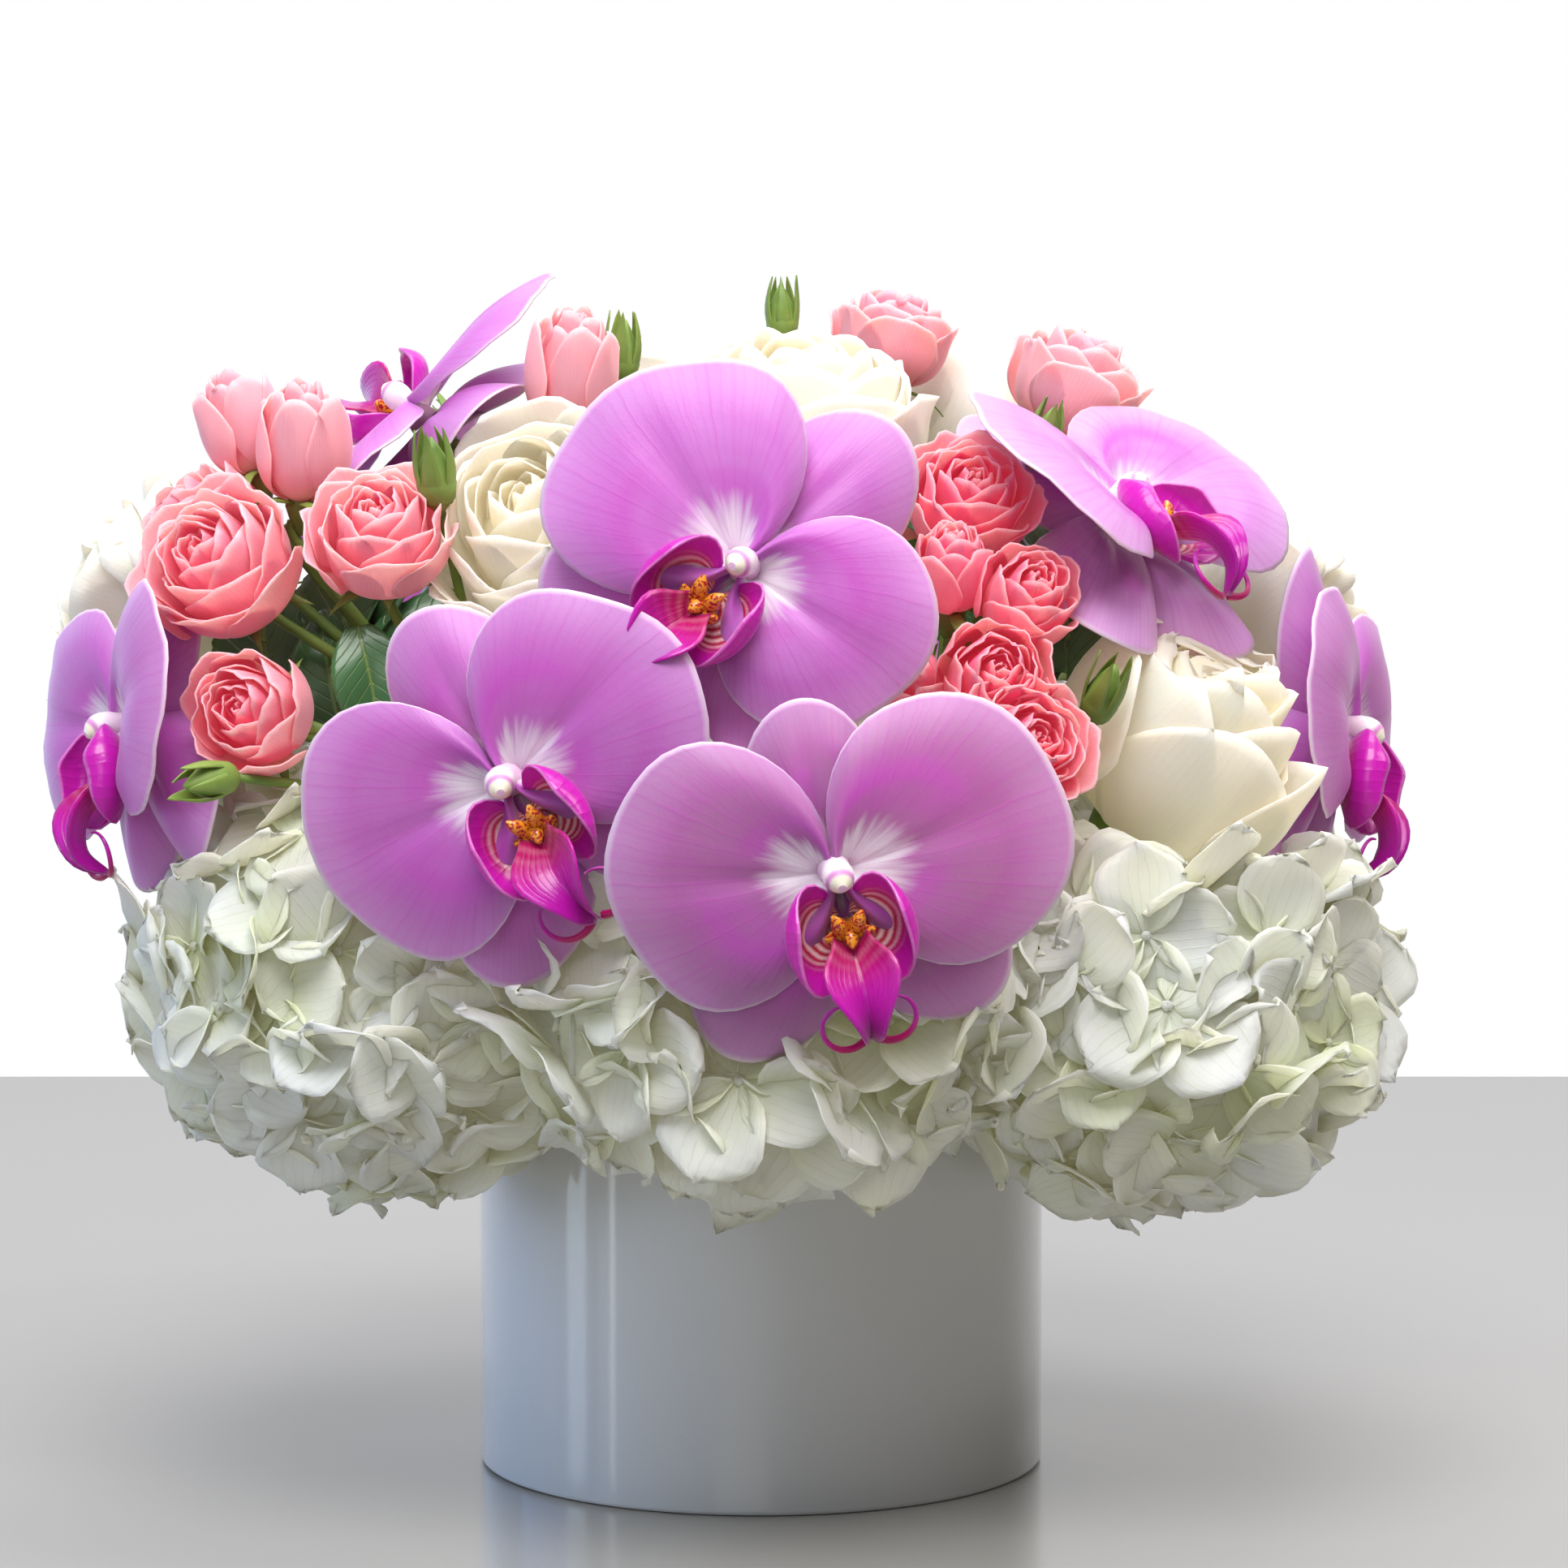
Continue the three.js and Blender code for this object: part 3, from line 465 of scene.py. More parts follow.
def petal_finish(name, roughness, glow, depth=(1.0, 0.6, 0.6), through=(1.0, 0.5, 0.5), strength=0.0):
    """A petal: soft, slightly see-through and silky.

    depth: how far red, green and blue light goes into it, as shares. through and strength: the colour and
    strength of a painted glow, light that the petal gives off itself, which stands in for the light that
    reaches a petal's shaded side through the petals around it.
    """
    return Finish(
        name,
        Roughness=roughness,
        # Painted glow: light that the petal gives off itself, in place of light that comes through the petals
        # around it.
        Emission_Color=(*through, 1.0),
        Emission_Strength=strength,
        Subsurface_Weight=glow,
        Subsurface_Scale=0.005,
        Subsurface_Radius=depth,
        Sheen_Weight=0.12,
        Sheen_Roughness=0.4,
        Specular_IOR_Level=0.35,
    )


def orchid_tepal_finish():
    """Lilac tepals with a white throat, a magenta flush, pale rims and fine veins that fan out."""
    look = bpy.context.scene.centrepiece_orchids
    made = petal_finish("orchid_tepal", 0.42, 0.4)
    uv, across, out = made.sheet_uv()
    tone = made.attribute("tone")
    cloud = made.noise(uv, 3.0, 2.0)
    warp = (made.noise(uv, 5.0, 1.0) - 0.5) * 1.1
    main = vein_lines(across, warp, 26, 5.0) * (1.0 - out.ramp(0.7, 1.0) * 0.5)
    crooked = warp * 2.0 + (made.noise(uv, 24.0, 1.0) - 0.5) * 0.9
    fine = vein_lines(across, crooked, 60, 2.5) * out.ramp(0.3, 0.6)
    veins = (main * 0.6 + fine * 0.4).clamped()
    flush = out.ramp(0.1, 0.35) * (1.0 - out.ramp(0.4, 0.95)) * cloud.ramp(0.25, 0.75)
    clear = made.blend(tone.clamped(), look.lilac, look.dusky)
    plain = made.blend((0.0 - tone).clamped() * 0.75, clear, (0.74, 0.42, 0.78))
    paleness = (out.ramp(0.6, 1.0) * 0.4 + (cloud - 0.5) * 0.4).clamped()
    pale = made.blend(paleness, plain, (0.68, 0.34, 0.71))
    flushed = made.blend((flush * 0.85).clamped(), pale, look.flush)
    veined = made.blend(veins * (0.5 - out * 0.15), flushed, look.flush)
    rimmed = made.blend(out.ramp(0.955, 1.0) * 0.6, veined, (0.88, 0.72, 0.88))
    streaks = made.noise(made.stretched(uv, (9.0, 1.0, 1.0)), 3.0, 2.0)
    throat = (1.0 - (out + (streaks - 0.5) * 0.28).ramp(0.06, 0.27)) * (1.0 - veins * 0.4)
    made.set("Base Color", made.blend(throat * 0.9, rimmed, (0.90, 0.80, 0.88)))
    made.bump(veins * 0.5 + made.noise(made.place(), 900.0) * 0.5, 0.00018, 0.5)
    return made.material


def orchid_lip_finish():
    """Magenta lip: pale with crimson bars deep inside, and a thin pale rim."""
    look = bpy.context.scene.centrepiece_orchids
    made = petal_finish("orchid_lip", 0.28, 0.2)
    made.set("Coat Weight", 0.2)
    uv, across, out = made.sheet_uv()
    warp = (made.noise(uv, 5.0) - 0.5) * 1.5
    bars = abs((out * 34.0 + warp + abs(across) * 2.0).sine()) ** 1.6
    tongue = made.attribute("tone")
    inside = (1.0 - out.ramp(0.2, 0.48)) * (1.0 - tongue)
    lively = made.blend(made.noise(uv, 3.0), look.magenta, (0.60, 0.012, 0.44))
    shaded = made.blend(tongue * out.ramp(0.3, 0.8) * 0.55, lively, (0.24, 0.001, 0.22))
    red = made.blend(out.ramp(0.25, 0.6), (0.42, 0.0, 0.12), shaded)
    barred = made.blend(bars, (0.86, 0.55, 0.58), (0.42, 0.01, 0.04))
    mixed = made.blend(inside, red, barred)
    made.set("Base Color", made.blend(out.ramp(0.95, 1.0) * 0.45, mixed, (0.78, 0.30, 0.66)))
    made.bump(vein_lines(across, warp, 13, 2.0) + made.noise(made.place(), 700.0), 0.0002, 0.4)
    return made.material


def orchid_column_finish():
    """White column, tinted pink at its foot, with a cream cap."""
    made = petal_finish("orchid_column", 0.35, 0.3)
    out = made.sheet_uv()[2]
    tinted = made.blend(out.ramp(0.05, 0.8), (0.80, 0.52, 0.74), (0.88, 0.78, 0.84))
    ring = made.blend(out.ramp(0.74, 0.82), tinted, (0.66, 0.28, 0.60))
    made.set("Base Color", made.blend(out.ramp(0.84, 0.9), ring, (0.90, 0.84, 0.70)))
    made.bump(made.noise(made.place(), 500.0), 0.0002, 0.4)
    return made.material


def orchid_callus_finish():
    """Orange callus with red speckles."""
    made = Finish("orchid_callus", Roughness=0.3, Coat_Weight=0.3, Subsurface_Weight=0.1)
    speckle = made.noise(made.place(), 1300.0, 1.0).ramp(0.5, 0.58)
    made.set("Base Color", made.blend(speckle, (0.85, 0.33, 0.02), (0.45, 0.01, 0.02)))
    return made.material


def rose_petal_finish(name, outer, inner, edge, root, through):
    """Rose petals, coloured by their age, which grows outwards, so that the heart is deepest."""
    # The petals give off a painted glow in the colour through, at strength 0.07, that lifts the shade between
    # them.
    made = petal_finish(name, 0.5, 0.6, (1.0, 0.7, 0.5), through, 0.07)
    uv, across, out = made.sheet_uv()
    age = made.attribute("age")
    cloud = made.noise(uv, 5.0)
    veins = vein_lines(across, (made.noise(uv, 8.0) - 0.5) * 1.5, 25, 3.0)
    deep = (1.0 - age.ramp(0.0, 0.8)) * 0.8 + (cloud - 0.5) * 0.3 + made.attribute("tint") * 0.6
    mixed = made.blend(deep.clamped(), outer, inner)
    # A paler band along each petal's rim, in the colour edge: a painted rim highlight.
    rim = made.blend(out.ramp(0.86, 1.0) * 0.5, mixed, edge)
    rooted = made.blend((1.0 - out.ramp(0.05, 0.4)) * 0.6, rim, root)
    made.set("Base Color", made.blend(veins * 0.10, rooted, inner))
    made.bump(veins * 0.5 + made.noise(made.place(), 1100.0) * 0.6, 0.00015, 0.5)
    return made.material


def hydrangea_finish():
    """Cream sepals, greener on younger florets and towards their roots, with a net of veins."""
    look = bpy.context.scene.centrepiece_hydrangeas
    # The sepals give off a faint warm painted glow, colour (1.0, 0.86, 0.42) at strength 0.028, that lifts
    # their shade.
    made = petal_finish("hydrangea_sepal", 0.5, 0.6, (1.0, 0.95, 0.6), (1.0, 0.86, 0.42), 0.028)
    uv, across, out = made.sheet_uv()
    tint = made.attribute("tint")
    warp = (made.noise(uv, 8.0) - 0.5) * 1.8
    veins = vein_lines(across, warp, 9, 6.0) * (1.0 - out * 0.5)
    patch = made.noise(made.place(), 22.0, 2.0).ramp(0.42, 0.7)
    greenness = ((1.0 - tint) * 0.5 + patch * 0.45 + (1.0 - out.ramp(0.1, 0.6)) * 0.4 - 0.28).clamped()
    cool = made.blend(tint.ramp(0.5, 1.0) * 0.6, look.cream, (0.74, 0.80, 0.80))
    toned = made.blend(greenness, cool, look.green)
    rim = made.blend(out.ramp(0.8, 1.0) * 0.35, toned, (0.84, 0.83, 0.75))
    made.set("Base Color", made.blend(veins * 0.16, rim, look.green))
    made.bump(veins * 0.8 + made.noise(made.place(), 600.0) * 0.5, 0.0003, 0.5)
    return made.material


def green_finish(name, base, dark, roughness, bump_scale):
    """A stem, bud or sepal: green with small changes of tone."""
    made = Finish(name, Roughness=roughness, Subsurface_Weight=0.08, Subsurface_Scale=0.003)
    cloud = made.noise(made.place(), 60.0)
    fine = made.noise(made.place(), bump_scale)
    made.set("Base Color", made.blend((cloud.ramp(0.3, 0.7) * 0.7 + fine * 0.25).clamped(), base, dark))
    made.bump(fine, 0.0003, 0.5)
    return made.material


def leaf_finish():
    """Deep green glossy leaf with a pale midrib and side veins."""
    look = bpy.context.scene.centrepiece_greens
    made = Finish("rose_leaf", Roughness=0.33, Coat_Weight=0.15, Subsurface_Weight=0.06)
    uv, across, out = made.sheet_uv()
    slope = out * 9.0 - abs(across) * 2.6 + (made.noise(uv, 6.0) - 0.5) * 0.3
    side = (1.0 - abs((slope * math.pi).sine())) ** 9.0
    rib = 1.0 - abs(across).ramp(0.0, 0.09)
    veins = (side * 0.8 + rib).clamped()
    shaded = made.blend(made.noise(uv, 5.0), look.deep, (0.05, 0.17, 0.05))
    made.set("Base Color", made.blend(veins * 0.5, shaded, look.fresh))
    made.bump(1.0 - veins, 0.0006, 0.6)
    return made.material


def glaze_finish():
    """White glaze: glossy, very slightly uneven, with faint specks."""
    look = bpy.context.scene.centrepiece_vase
    made = Finish("vase_glaze", Roughness=0.13, Coat_Weight=0.6, Coat_Roughness=0.03)
    speck = made.noise(made.place(), 420.0, 2.0).ramp(0.72, 0.78)
    made.set("Base Color", made.blend(speck * 0.12, look.glaze, (0.5, 0.48, 0.45)))
    made.set("Roughness", made.noise(made.place(), 26.0) * 0.06 + 0.09)
    made.bump(made.noise(made.place(), 14.0, 1.0), 0.0004, 0.35)
    return made.material


def foam_finish():
    """Wet dark green foam, crumbly and full of fine holes."""
    look = bpy.context.scene.centrepiece_greens
    made = Finish("floral_foam", Roughness=0.85)
    grain = made.noise(made.place(), 900.0, 5.0, 0.7)
    made.set("Base Color", made.blend(grain, look.foam, (0.07, 0.18, 0.07)))
    made.bump(grain, 0.001, 0.8)
    return made.material


# ------------------------------------------------------------------ mesh making
WORLD = (np.eye(3), np.zeros(3))


class Pile:
    """Collects grids of points into one mesh, with a UV map and values of their own."""

    def __init__(self):
        self.points = []
        self.faces = []
        self.uvs = []
        self.materials = []
        self.values = {"age": [], "tint": [], "tone": []}
        self.count = 0

    def grid(self, points, closed=False, material=0, **values):
        """Adds rows of points as a sheet, or as a tube where closed. values are the same over the grid."""
        rows, columns = points.shape[:2]
        index = np.arange(rows * columns).reshape(rows, columns) + self.count
        right = np.roll(index, -1, axis=1)
        if not closed:
            index, right = index[:, :-1], right[:, :-1]
        quads = np.stack([index[:-1], right[:-1], right[1:], index[1:]], axis=-1)
        faces = quads.reshape(-1, 4).tolist()
        self.add(points.reshape(-1, 3), faces, unit_uv(rows, columns), material, values)

    def cap(self, points, material=0, **values):
        """Adds a fan that closes a ring of points at their middle."""
        ring = len(points)
        middle = points.mean(axis=0, keepdims=True)
        faces = [(self.count + i, self.count + (i + 1) % ring, self.count + ring) for i in range(ring)]
        uvs = np.zeros((ring + 1, 2))
        self.add(np.vstack([points, middle]), faces, uvs, material, values)

    def body(self, rings, material=0, **values):
        """Adds rings of points as a tube that is closed at both ends."""
        self.grid(rings, closed=True, material=material, **values)
        self.cap(rings[0][::-1], material=material, **values)
        self.cap(rings[-1], material=material, **values)

    def add(self, points, faces, uvs, material, values):
        self.points.append(points)
        self.faces.extend(faces)
        self.uvs.append(uvs)
        self.materials.extend([material] * len(faces))
        for name, stored in self.values.items():
            stored.append(np.full(len(points), values.get(name, 0.0)))
        self.count += len(points)

    def build(self, name, finishes, thickness=0.0, frame_of=WORLD, size=1.0, shade_smooth=True):
        """Makes the object. Points are millimetres: size scales them, and then frame_of places them."""
        points = placed(np.vstack(self.points) * size, frame_of)
        mesh = bpy.data.meshes.new(name)
        mesh.from_pydata((points * MM).tolist(), [], self.faces)
        corner_points = np.empty(len(mesh.loops), dtype=np.int64)
        mesh.loops.foreach_get("vertex_index", corner_points)
        mesh.uv_layers.new(name="petal").data.foreach_set("uv", np.vstack(self.uvs)[corner_points].ravel())
        for kind, stored in self.values.items():
            layer = mesh.attributes.new(kind, "FLOAT", "POINT")
            layer.data.foreach_set("value", np.concatenate(stored))
        mesh.polygons.foreach_set("material_index", self.materials)
        mesh.polygons.foreach_set("use_smooth", [shade_smooth] * len(self.faces))
        for finish in finishes:
            mesh.materials.append(finish)
        mesh.update()
        made = linked(name, mesh)
        if thickness:
            thicken(made, thickness, 0.0)
        return made


def linked(name, data):
    """A new object in the scene that shows the data."""
    made = bpy.data.objects.new(name, data)
    bpy.context.scene.collection.objects.link(made)
    return made


def thicken(piece, thickness, offset):
    """Gives a sheet its thickness: on both sides where offset is 0, and behind its faces where it is -1."""
    solid = piece.modifiers.new("Thickness", "SOLIDIFY")
    solid.thickness = thickness * MM
    solid.offset = offset


def unit_uv(rows, columns):
    across, out = np.meshgrid(np.linspace(0, 1, columns), np.linspace(0, 1, rows))
    return np.stack([across, out], axis=-1).reshape(-1, 2)


def flower_frame(at, faces, roll=0.0):
    """The frame of a flower: +Z is the way it faces, +Y its own top, turned clockwise by roll degrees."""
    z = np.array(faces, float)
    z /= np.linalg.norm(z)
    upright = np.array([0.0, 0.0, 1.0]) - z * z[2]
    upright /= np.linalg.norm(upright)
    right = np.cross(upright, z)
    turn = math.radians(roll)
    y = upright * math.cos(turn) + right * math.sin(turn)
    return np.stack([np.cross(y, z), y, z]), np.array(at, float)


def placed(points, frame_of):
    """Points of a flower, where its frame puts them. frame_of holds the frame's three axes and its origin."""
    axes, origin = frame_of
    return points @ axes + origin


def seen_from(points, frame_of):
    """The points in a flower's own frame."""
    axes, origin = frame_of
    return (points - origin) @ axes.T


def behind(bloom, distance):
    """The point at that distance behind a bloom."""
    axes, origin = flower_frame(bloom.at, bloom.faces)
    return origin - axes[2] * distance


def foot_of(start, inward, height):
    """Where the stalk of something stands in the foam: at that height, and nearer the vase's axis."""
    return np.array([start[0] * inward, start[1] * inward, height])


def heart_of(rose):
    """The middle of a rose, a little under halfway up it."""
    return behind(rose, -rose.height * 0.45)


def smooth(low, high, value):
    t = np.clip((value - low) / (high - low), 0, 1)
    return t * t * (3 - 2 * t)


def mix(first, second, t):
    return first + (second - first) * t


def oval_reach(angle, centre, half_long, half_wide):
    """How far it is from a petal's root to its edge, where the petal is an oval whose middle is at centre."""
    along, aside = np.cos(angle), np.sin(angle)
    a = (along / half_long) ** 2 + (aside / half_wide) ** 2
    b = centre * along / half_long**2
    c = (centre / half_long) ** 2 - 1
    return (b + np.sqrt(np.maximum(b * b - a * c, 0))) / a


def sheet(rows, columns):
    """Shares out along a petal, from 0 to 1, and across it, from -1 to 1, as two grids."""
    return np.meshgrid(np.linspace(0, 1, rows), np.linspace(-1, 1, columns), indexing="ij")


def ridge(across, width):
    """1 where across is 0, and down to nothing within about twice the width."""
    return np.exp(-((across / width) ** 2))


def fan_grid(rows, columns, spread, crowded=1.0, root=0.03):
    """Angles across a petal and shares out along it, as two grids.

    Where crowded is above 1, the angles lie closer together towards the petal's middle line.
    """
    out = root + (1 - root) * np.linspace(0, 1, rows) ** 0.85
    across = np.linspace(-1, 1, columns)
    return np.meshgrid(np.radians(spread) * np.sign(across) * np.abs(across) ** crowded, out)


def curve_through(points, count):
    """A smooth path through the points."""
    points = np.array(points, float)
    if len(points) == 2:
        return points[0] + np.linspace(0, 1, count)[:, None] * (points[1] - points[0])
    padded = np.vstack([2 * points[0] - points[1], points, 2 * points[-1] - points[-2]])
    path = []
    for place in np.linspace(0, len(points) - 1, count):
        i = min(int(place), len(points) - 2)
        t = place - i
        a, b, c, d = padded[i : i + 4]
        bend = (2 * a - 5 * b + 4 * c - d) * t**2 + (3 * b - a - 3 * c + d) * t**3
        path.append(0.5 * (2 * b + (c - a) * t + bend))
    return np.array(path)


def tube(pile, points, radii, steps=12, sides=8, material=0, **values):
    """A round stem along a path. radii are spread evenly along it."""
    path = curve_through(points, steps)
    ways = np.gradient(path, axis=0)
    ways /= np.linalg.norm(ways, axis=1, keepdims=True)
    aside = np.cross(ways[0], [0.31, 0.77, 0.55])
    around = np.linspace(0, 2 * math.pi, sides, endpoint=False)
    radius = np.interp(np.linspace(0, 1, steps), np.linspace(0, 1, len(radii)), radii)
    rings = []
    for at, way, wide in zip(path, ways, radius):
        aside = aside - way * (aside @ way)
        aside /= np.linalg.norm(aside)
        third = np.cross(way, aside)
        rings.append(at + wide * (np.cos(around)[:, None] * aside + np.sin(around)[:, None] * third))
    pile.body(np.array(rings), material, **values)


def turned(pile, profile, segments, frame_of=WORLD, **values):
    """A solid of revolution about +Z from (radius, height) pairs that start and end near the axis."""
    around = np.linspace(0, 2 * math.pi, segments, endpoint=False)
    radius, height = np.array(profile, float).T[:, :, None]
    rings = np.stack([radius * np.cos(around), radius * np.sin(around), height + 0 * around], axis=-1)
    pile.body(placed(rings, frame_of), **values)


def finish_piece(piece, slot, *nodes):
    """Puts a finished piece on the root body and hides the imported parts that it stands for. slot is not
    used.
    """
    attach(piece, "root")
    if nodes:
        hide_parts(*nodes)


# ------------------------------------------------------------------ vase and foam
def vase_profile(look):
    """The vase's wall from the middle of its foot, up the outside, over the rim and down the inside."""
    corner = np.radians(np.linspace(0, 90, 7))
    ease, fillet, middle = look.rounding, 4, 0.4
    outer, inner = look.radius - ease, look.radius - look.wall
    top = look.height - ease
    foot = [(outer + ease * math.sin(a), ease * (1 - math.cos(a))) for a in corner]
    rim = [(outer + ease * math.cos(a), top + ease * math.sin(a)) for a in corner]
    lip = [(inner + ease * (1 - math.sin(a)), top + ease * math.cos(a)) for a in corner]
    side = [(look.radius, z) for z in np.linspace(ease, top, 20)[1:-1]]
    bore = [(inner, z) for z in np.linspace(top, look.floor + fillet, 10)[1:]]
    base = [(middle, 0.0), (outer * 0.5, 0.0), (outer * 0.9, 0.0)]
    return base + foot + side + rim + lip + bore + [(inner - fillet, look.floor), (middle, look.floor)]


class CENTREPIECE_OT_vase(bpy.types.Operator):
    """Turns the white glazed vase"""

    bl_idname = "centrepiece.vase"
    bl_label = "Vase"

    def execute(self, context):
        pile = Pile()
        turned(pile, vase_profile(context.scene.centrepiece_vase), 144)
        finish_piece(pile.build("vase_glazed", [glaze_finish()]), "vase_glaze", "vase")
        return {"FINISHED"}


class CENTREPIECE_OT_foam(bpy.types.Operator):
    """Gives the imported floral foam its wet, crumbly finish"""

    bl_idname = "centrepiece.foam"
    bl_label = "Floral foam"

    def execute(self, context):
        foam = frame["nodes"]["floral_foam"]
        foam.data.materials.clear()
        foam.data.materials.append(foam_finish())
        return {"FINISHED"}


# ------------------------------------------------------------------ hydrangeas
FLORET_KINDS = 6
# Florets to a square metre before their least spacing thins them out.
MOST_FLORETS = 90000.0
# How far florets keep from other flowers, in millimetres: behind and before an orchid's middle, beside its
# petals, and round the heart of a rose.
CLEAR_BEHIND, CLEAR_BEFORE, CLEAR_BESIDE, CLEAR_OF_ROSE = 21, 60, 4, 11
# A head is dented in rounds. In each one, what isn't clear yet moves by this share towards the head's middle.
DENT_ROUNDS, DENT_SHARE = 14, 0.07
# How a head differs from a ball: the share of its depth below the middle, and its extra width along the rim.
HEAD_DEPTH, HEAD_EXTRA_WIDTH = 0.87, 0.12
# Florets reach this far round to the side that faces the vase's axis: -1 would be all the way.
HEAD_BACK = -0.42
# How far florets stay above the vase's rim and outside its wall, in millimetres.
CLEAR_OF_RIM, CLEAR_OF_WALL = 8, 7


def floret_sepal(look, quarter, chance):
    """One broad rounded sepal of a floret, softly cupped, with a waved edge."""
    steps = 0.5 - 0.5 * np.cos(np.linspace(0.12, math.pi, 10))
    out, across = np.meshgrid(steps, np.linspace(-1, 1, 8), indexing="ij")
    size = look.sepal * chance.uniform(0.84, 1.06)
    half = size * chance.uniform(0.52, 0.62)
    wide = half * (1 - np.abs(2 * out - 1) ** 2.4) ** 0.5 * (0.8 + 0.2 * out)
    phase = chance.uniform(0, 6, 4)
    reach = size * out * (1 - 0.1 * across**2 * out) + 0.6
    aside = across * wide * (1 + 0.05 * np.sin(7 * out + phase[0]))
    edge = np.maximum(across**2, out**3)
    tip = chance.uniform(-3.0, 7.0) * out**2
    bowl = chance.uniform(0.5, 4.0) * (across**2 - 0.3) * np.sin(math.pi * np.minimum(out + 0.1, 1))
    wave = chance.uniform(0.9, 2.4) * np.sin(chance.uniform(4, 7) * out + phase[1] + 2.2 * across) * edge
    frill = 0.55 * np.sin(11 * out + 5 * across + phase[2]) * edge * out
    crease = -0.7 * ridge(across, 0.2) * np.sin(math.pi * out)
    stacked = (1.2 if quarter % 2 else -0.4) * np.minimum(out * 4, 1)
    turn = quarter * math.pi / 2 + chance.uniform(-0.16, 0.16)
    x = reach * math.cos(turn) - aside * math.sin(turn)
    y = reach * math.sin(turn) + aside * math.cos(turn)
    return np.stack([x, y, tip + bowl + wave + frill + crease + stacked], axis=-1)


def floret_source(look, index, finish):
    """One floret that is repeated over the heads: four sepals, a bead in their middle and a stalk."""
    chance = np.random.default_rng(SEEDS["floret"] + index)
    pile = Pile()
    for quarter in range(4):
        pile.grid(floret_sepal(look, quarter, chance))
    turned(pile, [(0.2, -0.8), (1.4, 0.0), (1.5, 1.0), (0.3, 1.9)], 6)
    tube(pile, [(0, 0, 0), (0.6, 0.4, -9), (0, 0, -19)], [0.9, 0.7, 0.9], steps=3, sides=4)
    floret = pile.build(f"floret_{index}", [finish])
    # A tint of its own would hide the one that the scatter tree gives to each floret.
    floret.data.attributes.remove(floret.data.attributes["tint"])
    return floret


def scatter_tree(finish):
    """Geometry nodes that set florets over a surface, each leaning and turned its own way."""
    tree = bpy.data.node_groups.new("Floret scatter", "GeometryNodeTree")
    inputs = {
        "Geometry": "Geometry",
        "Florets": "Collection",
        "Spacing": "Float",
        "Lean": "Float",
        "Smallest": "Float",
        "Largest": "Float",
        "Seed": "Int",
    }
    for name, kind in inputs.items():
        tree.interface.new_socket(name, in_out="INPUT", socket_type=f"NodeSocket{kind}")
    tree.interface.new_socket("Geometry", in_out="OUTPUT", socket_type="NodeSocketGeometry")
    graph = Graph(tree)
    node = graph.node
    group = node("NodeGroupInput")
    given = {name: group.other(name) for name in inputs}

    def chance(kind, low, high, salt):
        """A random value for each point, of its own seed. Each kind has its own sockets for its limits."""
        first, last, output = {"FLOAT_VECTOR": (0, 1, 0), "FLOAT": (2, 3, 1), "INT": (4, 5, 2)}[kind]
        values = {first: low, last: high, "Seed": given["Seed"] + salt}
        return node("FunctionNodeRandomValue", {"data_type": kind}, values, output)

    places = {
        "Mesh": given["Geometry"],
        "Distance Min": given["Spacing"],
        "Density Max": MOST_FLORETS,
        "Seed": given["Seed"],
    }
    spread = node("GeometryNodeDistributePointsOnFaces", {"distribute_method": "POISSON"}, places)
    leaning = node("ShaderNodeCombineXYZ", None, {"X": given["Lean"], "Y": given["Lean"]})
    back = node("ShaderNodeVectorMath", {"operation": "SCALE"}, {0: leaning, "Scale": -1.0})
    spin = node("ShaderNodeVectorMath", {"operation": "ADD"}, {0: leaning, 1: (0.0, 0.0, 2 * math.pi)})
    turn = node("FunctionNodeEulerToRotation", None, {"Euler": chance("FLOAT_VECTOR", back, spin, 1.0)})
    turned_by = {"Rotation": spread.other("Rotation"), "Rotate By": turn}
    rotation = node("FunctionNodeRotateRotation", {"rotation_space": "LOCAL"}, turned_by)
    kinds = {"Collection": given["Florets"], "Separate Children": True}
    florets = {
        "Points": spread,
        "Instance": node("GeometryNodeCollectionInfo", None, kinds),
        "Pick Instance": True,
        "Instance Index": chance("INT", 0, FLORET_KINDS - 1, 2.0),
        "Rotation": rotation,
        "Scale": chance("FLOAT", given["Smallest"], given["Largest"], 3.0),
    }
    set_on = node("GeometryNodeInstanceOnPoints", None, florets)
    tint = {"Geometry": set_on, "Name": "tint", "Value": chance("FLOAT", 0.0, 1.0, 4.0)}
    tinted = node("GeometryNodeStoreNamedAttribute", {"data_type": "FLOAT", "domain": "INSTANCE"}, tint)
    real = node("GeometryNodeRealizeInstances", None, {"Geometry": tinted})
    coloured = node("GeometryNodeSetMaterial", None, {"Geometry": real, "Material": finish})
    graph.put(graph.nodes.new("NodeGroupOutput").inputs[0], coloured)
    return tree


def head_middle(head):
    """The middle of a head, and the way from the vase's axis out to it."""
    angle = math.radians(head.turn - 90)
    outward = np.array([math.cos(angle), math.sin(angle), 0.0])
    return outward * head.reach + np.array([0, 0, head.height]), outward


def dented(points, middle):
    """Moves the points of a head that lie among orchids or roses towards its middle, round by round."""
    orchid_reach = bpy.context.scene.centrepiece_orchids.petal + CLEAR_BESIDE
    for _ in range(DENT_ROUNDS):
        inside = np.zeros(len(points), bool)
        for orchid in ORCHIDS:
            local = seen_from(points, flower_frame(orchid.at, orchid.faces))
            beside = np.hypot(local[:, 0], local[:, 1]) < orchid_reach * orchid.size
            inside |= beside & (local[:, 2] > -CLEAR_BEHIND) & (local[:, 2] < CLEAR_BEFORE)
        for rose in all_roses():
            inside |= np.linalg.norm(points - heart_of(rose), axis=1) < rose.radius + CLEAR_OF_ROSE
        points[inside] += (middle - points[inside]) * DENT_SHARE
    return points


